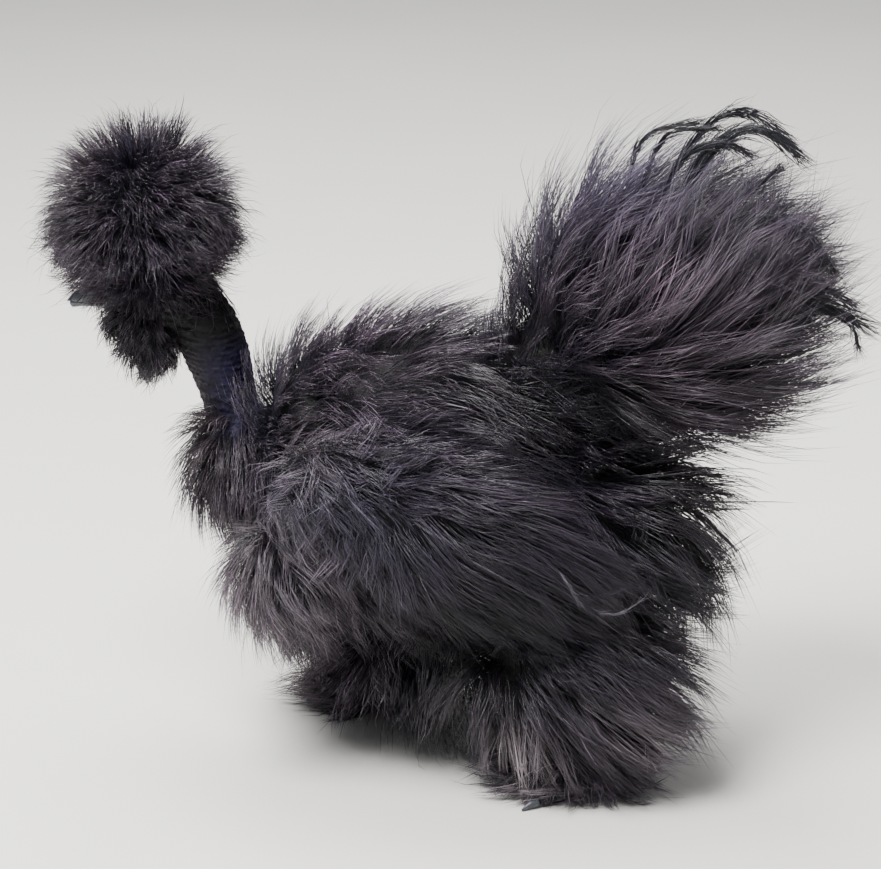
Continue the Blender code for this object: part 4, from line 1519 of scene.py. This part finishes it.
@dataclass
class Tract:
    """One tract of the coat: silky strands in tufts, rooted on a core and reaching an outer shape.

    Attributes:
        name: The name of its pieces.
        nodes: The frame's nodes that it stands for.
        core: What its strands are rooted on.
        tips: What its strands reach.
        lie: The direction in which the coat lies at a point, with its length as a share of the run.
        tufts: How many tufts are spread over the core, before those in rooms are left out.
        run: How far a strand runs along its lie.
        width: How broad a strand is at its broadest.
        part: How far the strands of one tuft part at their tips.
        seed: The seed of its random draws.
        strands: How many strands each tuft has.
        ruffle: How far a tuft's tip is moved sideways over the outer shape, by a smooth field.
        swirl: The length of that field's waves.
        gather: How far apart a tuft's strands stay at their tips, as a share of how far apart they root.
        loft: How far a strand stands off before it turns to its tip.
        curl: How far a strand waves to and fro.
        bow: How far a tuft bends sideways, as a share of its run.
        reach: Where the tips end, as the least and the most share of the outer shape.
        rooms: Shapes in which no tuft is rooted.
        bare: Shapes that strands are pressed out of.
        rings: How many rings a strand has.
        pieces: How many objects it is split into.
        tuft_tone: How much lighter or darker one tuft is than another.
        strand_tone: How much lighter or darker one strand is than another.
    """

    name: str
    nodes: tuple[str, ...]
    core: Egg
    tips: Egg
    lie: Lie
    tufts: int
    run: float
    width: float
    part: float
    seed: int
    strands: int = 17
    ruffle: float = 6.0
    swirl: float = 55.0
    gather: float = 0.5
    loft: float = 0.5
    curl: float = 1.4
    bow: float = 0.16
    reach: tuple[float, float] = (0.9, 1.05)
    rooms: tuple[Egg, ...] = ()
    bare: tuple[Egg, ...] = ()
    rings: int = 3
    pieces: int = 1
    tuft_tone: float = 0.32
    strand_tone: float = 0.5

    # How far strands root from their tuft's own root, as a share of the spacing of tufts
    SPREAD = 0.75
    # The share of strands that stay with their tuft, and how much of the parting they take
    TIDY_SHARE = 0.75
    TIDY_PART = 0.5
    # The longest and the shortest of the usual strands, and the few that are longer than them
    LONG = 1.04
    SHORTER_BY = 0.4
    STRAY_SHARE = 0.04
    STRAY = 1.14
    # How deep the roots are in the core, in millimetres
    ROOT_DEPTH = 1.5
    # The power in the rule that gives an egg's area from its half sizes
    AREA_POWER = 1.6

    def tuft_table(self, draw: np.random.Generator) -> dict[str, np.ndarray]:
        """Spreads the tufts over the core and aims them.

        Args:
            draw: The tract's random draws.

        Returns:
            The tufts' unit directions, roots, normals, flows, tips and sideways bows.
        """
        stretch = np.linalg.norm(even_directions(500) / np.array(self.core.half), axis=1)
        count = int(self.tufts * stretch.max() / stretch.mean())
        units = unit_rows(even_directions(count) + draw.normal(scale=0.02, size=(count, 3)))
        roots = self.core.point(units)
        crowd = np.linalg.norm(units / np.array(self.core.half), axis=1) / stretch.max()
        free = draw.uniform(0, 1, count) < crowd
        for room in self.rooms:
            free &= ~room.holds(roots)
        units, roots = units[free], roots[free]
        normals = self.core.normal(units)
        flow = self.lie(roots)
        speed = np.linalg.norm(flow, axis=1, keepdims=True)
        run = self.run * speed * draw.uniform(0.65, 1.3, (len(roots), 1))
        flow = unit_rows(flow - normals * (flow * normals).sum(axis=1, keepdims=True))
        across = np.cross(flow, normals)
        swirl = (ripple(roots, self.swirl, self.seed) + 0.45 * draw.normal(size=len(roots)))[:, None]
        moved = (across * swirl + flow * 0.5 * draw.normal(size=run.shape)) * self.ruffle
        share = draw.uniform(*self.reach, (len(roots), 1))
        aim = unit_rows(self.tips.local(roots + flow * run + moved))
        centre = np.array(self.tips.centre)
        return {
            "unit": units,
            "root": roots,
            "normal": normals,
            "flow": flow,
            "tip": centre + (self.tips.point(aim) - centre) * share,
            "bow": across * (swirl - 0.4 * draw.normal(size=run.shape)) * (run + self.ruffle) * -self.bow,
        }

    def paths(
        self, tufts: dict[str, np.ndarray], owner: np.ndarray, draw: np.random.Generator
    ) -> np.ndarray:
        """Every strand's points from root to tip.

        Args:
            tufts: The tufts' roots, directions, tips and bends.
            owner: The tuft of each strand.
            draw: The tract's random draws.

        Returns:
            Points as strands by points by 3.
        """
        count, total = len(tufts["root"]), len(owner)
        normal, flow = tufts["normal"][owner], tufts["flow"][owner]
        across = np.cross(flow, normal)
        spacing = math.sqrt(self.area() / self.tufts)
        turn = draw.uniform(0, 2 * math.pi, (total, 1))
        out = spacing * self.SPREAD * np.sqrt(draw.uniform(0, 1, (total, 1)))
        offset = (across * np.cos(turn) + flow * np.sin(turn)) * out
        root = self.core.point(unit_rows(self.core.local(tufts["root"][owner] + offset)))
        loose = draw.uniform(0, 1, (total, 1))
        part = self.part * np.where(loose < self.TIDY_SHARE, self.TIDY_PART * loose, 0.4 + loose)
        length = self.LONG - self.SHORTER_BY * draw.uniform(0, 1, (total, 1)) ** 1.5
        length = np.where(draw.uniform(0, 1, (total, 1)) < self.STRAY_SHARE, self.STRAY, length)
        tip = tufts["tip"][owner] + offset * self.gather + unit_rows(draw.normal(size=(total, 3))) * part
        tip = root + (tip - root) * length
        lift = ((tip - root) * normal).sum(axis=1, keepdims=True) * self.loft
        bend = root * 0.6 + tip * 0.4 + normal * lift + tufts["bow"][owner]
        phase = draw.uniform(0, 2 * math.pi, count)[owner] + draw.normal(scale=0.7, size=total)
        waves = draw.uniform(0.5, 1.1, count)[owner]
        swing = draw.uniform(0.3, 1.0, total) * self.curl
        rows = []
        for share in np.linspace(0, 1, self.rings + 1):
            point = root * (1 - share) ** 2 + bend * 2 * share * (1 - share) + tip * share**2
            angle = phase + share * 2 * math.pi * waves
            sway = (np.sin(angle) * swing * share)[:, None]
            nod = (np.cos(angle * 0.8) * swing * share * 0.6)[:, None]
            rows.append(point + across * sway + normal * nod)
        rows[0] = root - normal * self.ROOT_DEPTH
        points = np.stack(rows, axis=1)
        for shape in self.bare:
            points[:, 1:] = shape.press_out(points[:, 1:])
        return np.clip(points, *COAT_REACH)

    def area(self) -> float:
        """The core's surface area in square millimetres."""
        a, b, c = (size**self.AREA_POWER for size in self.core.half)
        return 4 * math.pi * ((a * b + a * c + b * c) / 3) ** (1 / self.AREA_POWER)

    def grow(self) -> tuple[Strands, np.ndarray]:
        """Grows the tract.

        Returns:
            All its strands, and the number of the piece that each belongs to.
        """
        draw = np.random.default_rng(self.seed)
        tufts = self.tuft_table(draw)
        count = len(tufts["root"])
        owner = np.repeat(np.arange(count), self.strands)
        points = self.paths(tufts, owner, draw)
        tone = np.exp(draw.normal(scale=self.tuft_tone, size=count))[owner]
        tone = tone * np.exp(draw.normal(scale=self.strand_tone, size=len(owner)))
        places = skin_places(tufts["unit"])[owner]
        places = places + draw.uniform(-0.5, 0.3, places.shape) * Strands.PATCH
        strands = Strands(
            points=points,
            normals=tufts["normal"][owner],
            widths=self.width * draw.uniform(0.7, 1.3, len(owner)),
            colours=coat_colours(points[:, -2]) * tone[:, None],
            places=np.clip(places, Strands.PATCH, 1 - Strands.PATCH),
        )
        return strands, owner * self.pieces // count

    def build(self, material: bpy.types.Material) -> None:
        """Builds and dresses the tract's pieces.

        Args:
            material: The finish of the down.
        """
        strands, piece = self.grow()
        for part in range(self.pieces):
            name = self.name if self.pieces == 1 else f"{self.name}_{part + 1}"
            dress(strands.some(piece == part).object(name), material, self.nodes)


@dataclass
class Coat:
    """All the tracts of silky down."""

    tracts: list[Tract] = field(default_factory=list)

    def __post_init__(self) -> None:
        """Lists the tracts from head to foot."""
        neck = self.beads(NECK_STATIONS, 14, 1.5)
        beak = self.beads(BEAK_STATIONS, 10, 0.6)
        skull = SKULL.grown(1.06)
        trunk = (TORSO_CORE, CAPE_CORE, BREAST_CORE, CROP_CORE, REAR_CORE)
        wings = (WING_CORE, WING_CORE.mirrored())

        def others(own: Egg, *more: Egg) -> tuple[Egg, ...]:
            """The trunk's other cores."""
            return tuple(core for core in (*trunk, *more) if core is not own)

        crest, beard, torso, tail = ("crest",), ("beard",), ("torso",), ("tail",)
        self.tracts = [
            Tract("crest_down", crest, CREST_CORE, CREST_TIPS, crest_lie, 800, 12, 0.36, 7, 41,
                  ruffle=4, swirl=30, gather=1.4, loft=0.55, curl=1.6, reach=(0.92, 1.06),
                  bare=(skull, *beak, *neck), pieces=2),
            Tract("fringe_down", crest, FRINGE_CORE, FRINGE_TIPS, steady_lie(0.3, -0.4, -0.8), 110, 10,
                  0.36, 5, 37, ruffle=3, gather=1.0, curl=1.2, reach=(0.92, 1.1),
                  rooms=(SKULL.grown(0.95),), bare=(skull, *beak)),
            Tract("beard_down", beard, BEARD_CORE, BEARD_TIPS, steady_lie(0.2, -0.25, -1), 140, 6, 0.4, 5,
                  42, ruffle=3, gather=0.8, curl=1.0, reach=(0.95, 1.15), rooms=(SKULL,), bare=beak),
            Tract("muff_down", beard, MUFF_CORE, MUFF_TIPS, steady_lie(0.5, 0.0, -1), 160, 8, 0.4, 5, 40,
                  ruffle=3, gather=0.8, curl=1.0, rooms=(BEARD_CORE, *neck[2:]), bare=beak),
            Tract("crop_down", torso, CROP_CORE, CROP_TIPS, steady_lie(0.1, 0.1, -1), 240, 22, 0.4, 6, 43,
                  ruffle=4, reach=(0.94, 1.12), rooms=others(CROP_CORE), bare=neck),
            Tract("cape_down", torso, CAPE_CORE, CAPE_TIPS, steady_lie(0.2, 0.8, 0.3), 380, 20, 0.42, 6, 44,
                  reach=(0.9, 1.12), rooms=others(CAPE_CORE), bare=neck),
            Tract("breast_down", torso, BREAST_CORE, BREAST_TIPS, fan_lie(BREAST_WHORL, (0, 0.25, -0.5)),
                  330, 24, 0.38, 6, 45, reach=(0.98, 1.14), rooms=others(BREAST_CORE, *wings)),
            Tract("back_down", torso, TORSO_CORE, TORSO_TIPS, torso_lie, 740, 27, 0.44, 7, 46, ruffle=8,
                  rooms=others(TORSO_CORE, TAIL_ROOT.grown(0.8)), pieces=2),
            Tract("belly_down", torso, BELLY_CORE, BELLY_TIPS, steady_lie(0.1, 0.25, -0.9), 290, 12, 0.52, 8,
                  39, reach=(1.0, 1.14), rooms=(TORSO_CORE, BREAST_CORE, REAR_CORE)),
            Tract("vent_down", torso, REAR_CORE, REAR_TIPS, steady_lie(0.1, 0.75, -0.55), 410, 24, 0.48, 7,
                  47, ruffle=8, reach=(1.0, 1.18), rooms=(TORSO_CORE, TAIL_ROOT, TAIL_CORE)),
            Tract("tail_down", tail, TAIL_CORE, TAIL_TIPS, tail_lie, 660, 46, 0.44, 9, 48, ruffle=9,
                  curl=3.4, bow=0.26, reach=(0.86, 1.08), rooms=(TAIL_ROOT,), rings=4, pieces=2),
            Tract("rump_down", tail, TAIL_ROOT.grown(1.02), RUMP_TIPS, steady_lie(0.3, 0.7, 0.5), 170, 14,
                  0.46, 6, 38, strands=16, reach=(0.85, 1.06),
                  rooms=(TORSO_CORE.grown(0.97), TAIL_CORE, REAR_CORE)),
            Tract("saddle_down", tail, TAIL_ROOT, TAIL_TIPS, tail_lie, 200, 54, 0.44, 9, 49, ruffle=9,
                  curl=2.6, bow=0.2, reach=(0.76, 0.98), rooms=(TAIL_CORE, TORSO_CORE.grown(0.94)), rings=4),
        ]
        for label, foot, side in FEET:
            leg, wing = (f"leg_{label}",), (f"wing_{label}",)
            self.tracts += [
                Tract(f"wing_down_{label}", wing, *on_side(side, WING_CORE, WING_TIPS), wing_lie, 370, 30,
                      0.42, 6, 50 + side, ruffle=7, reach=(0.92, 1.09),
                      rooms=(TORSO_CORE.grown(1.02), CAPE_CORE.grown(0.97))),
                Tract(f"shoulder_down_{label}", wing, *on_side(side, SHOULDER_CORE, SHOULDER_TIPS),
                      steady_lie(0, 0.8, -0.5), 150, 26, 0.42, 6, 60 + side, reach=(0.85, 1.05),
                      rooms=(CAPE_CORE, TORSO_CORE, BREAST_CORE), bare=neck),
                Tract(f"whorl_down_{label}", torso, *on_side(side, WHORL_CORE, WHORL_TIPS),
                      fan_lie(SHOULDER_WHORL, (0, 0.25, -0.9)), 140, 28, 0.38, 5, 66 + side, ruffle=3,
                      reach=(0.9, 1.1), rooms=(TORSO_CORE, CAPE_CORE.grown(0.9), CROP_CORE)),
                Tract(f"leg_down_{label}", leg, leg_egg(foot, LEG_CORE), leg_egg(foot, LEG_TIPS),
                      steady_lie(0.2, 0.7, -0.75), 290, 26, 0.44, 6, 54 + side, reach=(0.98, 1.12),
                      rooms=(TORSO_CORE, REAR_CORE)),
                Tract(f"slipper_down_{label}", leg, leg_egg(foot, SLIPPER_CORE), leg_egg(foot, SLIPPER_TIPS),
                      slipper_lie(foot), 130, 18, 0.42, 5, 64 + side, strands=16, reach=(0.9, 1.12)),
            ]

    @staticmethod
    def beads(stations: Sequence[Station], count: int, spare: float) -> tuple[Egg, ...]:
        """Balls along a path, which strands are pressed out of.

        Args:
            stations: Centres and radii along the path.
            count: How many balls.
            spare: How much larger than the path they are.

        Returns:
            The balls in order.
        """
        rows = smooth_path(stations, np.linspace(0, 1, count))
        return tuple(Egg(tuple(row[:3]), (row[3] + spare,) * 3) for row in rows)

    def build(self, material: bpy.types.Material) -> None:
        """Builds every tract."""
        for tract in self.tracts:
            tract.build(material)


@dataclass(frozen=True)
class Vane:
    """A hard feather: the points of its shaft from root to tip, and its width."""

    shaft: tuple[Point, ...]
    width: float

    def mirrored(self, back: float) -> "Vane":
        """Its like on the bird's other side, set back by some millimetres."""
        shaft = tuple((-x - 3, y - back, z + back / 3) for x, y, z in self.shaft)
        return Vane(shaft, self.width * 0.85)

    def along(self, shares: np.ndarray) -> np.ndarray:
        """Places on the shaft, one row for each share."""
        return smooth_path(tuple((point, 0.0) for point in self.shaft), shares)[:, :3]


TAIL_VANES = (
    Vane(((8, 104, 256), (10, 120, 292), (10, 135, 311), (11, 151, 314.5), (12, 170, 301)), 9.3),
    Vane(((4, 102, 256), (5, 116, 290), (6, 130, 309), (7, 146, 316), (8, 164, 308)), 6.0),
    Vane(((3, 84, 256), (4, 91, 290), (5, 95, 306), (5, 104, 313), (6, 124, 318)), 4.4),
    Vane(((0, 90, 256), (1, 98, 290), (2, 104, 306), (2, 113, 312), (3, 132, 314)), 4.1),
    Vane(((9, 98, 256), (12, 108, 290), (12, 118, 304), (13, 132, 309), (13, 147, 303)), 5.8),
    Vane(
        ((12, 108, 254), (15, 130, 274), (16, 146, 278), (17, 160, 275), (18, 174, 267), (18, 185, 250)), 7.8
    ),
    Vane(((10, 114, 256), (12, 134, 280), (14, 150, 292), (14, 159, 300)), 5.1),
    Vane(((9, 122, 228), (11, 150, 238), (12, 168, 239), (12, 182, 236), (12, 205, 224)), 11.9),
    Vane(((11, 140, 232), (12, 172, 235), (13, 192, 228), (13, 197, 215)), 4.1),
)
WING_SPIKES = (
    Vane(((70, 64, 128), (84, 70, 128), (89, 79, 117)), 1.0),
    Vane(((68, 78, 112), (80, 86, 110), (83, 97, 112), (78, 107, 118)), 0.9),
)


@dataclass
class HardFeathers:
    """The few hooked feathers: curved ones at the rim of the tail and pale spikes on the wing."""

    barbs: int = 96
    barb_width: float = 0.5
    barb_run: float = 0.3
    full_width: float = 5.0
    fray: float = 1.6
    seed: int = 71
    dark: str = "#16151b"
    pale: str = "#57515a"

    def build(self, vane: bpy.types.Material, silky: bpy.types.Material) -> None:
        """Builds the hard feathers of the tail and of the wings.

        Args:
            vane: The finish of the tail's feathers.
            silky: The finish of the wings' spikes.
        """
        tail = [*TAIL_VANES, *(TAIL_VANES[index].mirrored(7.0) for index in (0, 7))]
        obj = self.bundle(tail, self.dark).object("tail_hard_feathers")
        dress(obj, vane, ["tail"])
        for label, side in SIDES:
            spikes = WING_SPIKES if side > 0 else tuple(spike.mirrored(0.0) for spike in WING_SPIKES)
            obj = self.bundle(spikes, self.pale).object(f"wing_spikes_{label}")
            dress(obj, silky, [f"wing_{label}"])

    def bundle(self, vanes: Iterable[Vane], colour: str) -> Strands:
        """The barbs of some feathers.

        Args:
            vanes: The feathers.
            colour: Their hex colour.

        Returns:
            One strand for each barb.
        """
        draw = np.random.default_rng(self.seed)
        points, normals, widths = [], [], []
        for vane in vanes:
            barbs, flat = self.barb_lines(vane, draw)
            points.append(barbs)
            normals.append(flat)
            widths.append(np.full(len(barbs), self.barb_width) * min(1.0, 0.4 + vane.width / 10))
        points, normals, widths = (np.concatenate(rows) for rows in (points, normals, widths))
        tone = np.exp(draw.normal(scale=0.25, size=len(points)))[:, None]
        places = draw.uniform(0.3, 0.7, (len(points), 2))
        return Strands(points, normals, widths, linear(colour) * tone, places)

    def barb_lines(self, vane: Vane, draw: np.random.Generator) -> tuple[np.ndarray, np.ndarray]:
        """The barbs of one feather, which leave its shaft at a narrow angle and fray at their ends.

        Args:
            vane: The feather.
            draw: The random draws.

        Returns:
            The barbs' points and their normals.
        """
        count = int(self.barbs * min(1.0, vane.width / self.full_width))
        start = draw.uniform(0.0, 0.94, count)
        side = draw.uniform(-1.0, 1.0, count)
        end = np.minimum(start + self.barb_run * draw.uniform(0.7, 1.6, count), 1.0)
        out = np.where(draw.uniform(0, 1, count) < 0.12, 1.5, 1.0) * side
        rows = []
        for share in np.linspace(0, 1, 5):
            place = start + (end - start) * share
            heading = vane.along(np.clip(place + 0.02, 0, 1)) - vane.along(np.clip(place - 0.02, 0, 1))
            heading = unit_rows(heading)
            broad = unit_rows(np.cross(heading, np.array([1.0, 0.0, 0.0])))
            taper = np.minimum(0.25 + 1.8 * start, 1.0) * (1 - 0.75 * start)
            rows.append(vane.along(place) + broad * (out * taper * share * vane.width * 0.95)[:, None])
        points = np.stack(rows, axis=1)
        points[:, -1] += unit_rows(points[:, -1] - points[:, -2]) * draw.uniform(0, 5, (count, 1))
        points[:, -2] += draw.normal(scale=self.fray / 3, size=(count, 3))
        points[:, -1] += draw.normal(scale=self.fray, size=(count, 3))
        points[..., 0] += draw.normal(scale=0.3, size=(count, 1))
        return points, np.tile([1.0, 0.0, 0.0], (count, 1))


@dataclass(frozen=True)
class Lamp:
    """A soft square light.

    Attributes:
        name: Its name.
        azimuth: Its side, in the camera's measure, in degrees.
        elevation: Its height above the floor in degrees.
        power: Its power in watts.
        size: The side of its square in metres.
    """

    name: str
    azimuth: float
    elevation: float
    power: float
    size: float


@dataclass
class Studio:
    """Floor, lights and camera."""

    azimuth: float = 97.0
    elevation: float = 20.0
    distance: float = 1.30
    lens: float = 113.0
    sensor: float = 36.0
    aim: Point = (0.0, 5.0, 162.0)
    floor_size: float = 8.0
    floor_colour: str = "#d9d7d2"
    floor_shade: str = "#d3d1cc"
    floor_cloud: float = 1000 / 3
    sky_colour: str = "#e6e9ee"
    sky_strength: float = 0.29
    lamp_distance: float = 1.8
    lamp_aim: Point = (0.0, 0.0, 0.15)
    lamps: tuple[Lamp, ...] = (
        Lamp("key", 60, 60, 97, 0.8),
        Lamp("fill", 150, 40, 7, 1.4),
        Lamp("top", 300, 74, 68, 1.1),
    )

    @staticmethod
    def hang(
        name: str,
        data: bpy.types.ID,
        target: Vector,
        view: "Lamp | Studio",
        distance: float,
    ) -> bpy.types.Object:
        """Hangs a lamp or the camera in the air, turned to a target.

        Args:
            name: The object's name.
            data: What it holds.
            target: The place that it faces, in metres.
            view: What says its azimuth and its elevation.
            distance: How far it is from the target in metres.

        Returns:
            The new object.
        """
        turn, rise = math.radians(view.azimuth), math.radians(view.elevation)
        flat = math.cos(rise)
        back = Vector((math.sin(turn) * flat, -math.cos(turn) * flat, math.sin(rise)))
        hung = bpy.data.objects.new(name, data)
        bpy.context.scene.collection.objects.link(hung)
        hung.location = target + back * distance
        hung.rotation_euler = back.to_track_quat("Z", "Y").to_euler()
        return hung

    def camera(self) -> None:
        """Sets the camera at the photograph's angle."""
        data = bpy.data.cameras.new("camera")
        data.lens = self.lens
        data.sensor_width = self.sensor
        target = Vector(placed(np.array(self.aim)))
        bpy.context.scene.camera = self.hang("camera", data, target, self, self.distance)

    def floor(self) -> None:
        """A plain pale floor with a faint unevenness."""
        deselect_all()
        bpy.ops.mesh.primitive_grid_add(x_subdivisions=8, y_subdivisions=8, size=self.floor_size)
        floor = bpy.context.object
        floor.name = "floor"
        plaster = Surface("matt pale plaster floor")
        cloud = plaster.texture("ShaderNodeTexNoise", self.floor_cloud).outputs["Fac"]
        colour = plaster.ramp(cloud, (0.3, self.floor_shade), (0.7, self.floor_colour))
        floor.data.materials.append(plaster.finished({"Base Color": colour}, {"Roughness": 0.9}))

    def light(self, lamp: Lamp) -> None:
        """Hangs one lamp so that it faces the bird.

        Args:
            lamp: The lamp.
        """
        data = bpy.data.lights.new(lamp.name, "AREA")
        data.energy = lamp.power
        data.size = lamp.size
        self.hang(lamp.name, data, Vector(self.lamp_aim), lamp, self.lamp_distance)

    def sky(self) -> None:
        """A pale even surround."""
        world = bpy.data.worlds.new("pale surround")
        bpy.context.scene.world = world
        world.use_nodes = True
        ground = world.node_tree.nodes["Background"]
        ground.inputs["Color"].default_value = rgba(self.sky_colour)
        ground.inputs["Strength"].default_value = self.sky_strength

    def build(self) -> None:
        """Sets up the whole studio."""
        self.floor()
        self.sky()
        for lamp in self.lamps:
            self.light(lamp)
        self.camera()


def main() -> None:
    """Builds the bird and its studio."""
    logging.basicConfig(level=logging.INFO, format="%(message)s")
    horn = SlateHorn().material()
    Skin().build(DarkSkin().material())
    Head().build(horn, WetEye().material())
    Claws().build(horn)
    down = SilkyPlumage().material()
    Coat().build(down)
    HardFeathers().build(HardVane().material(), down)
    Studio().build()


if __name__ == "__main__":
    main()
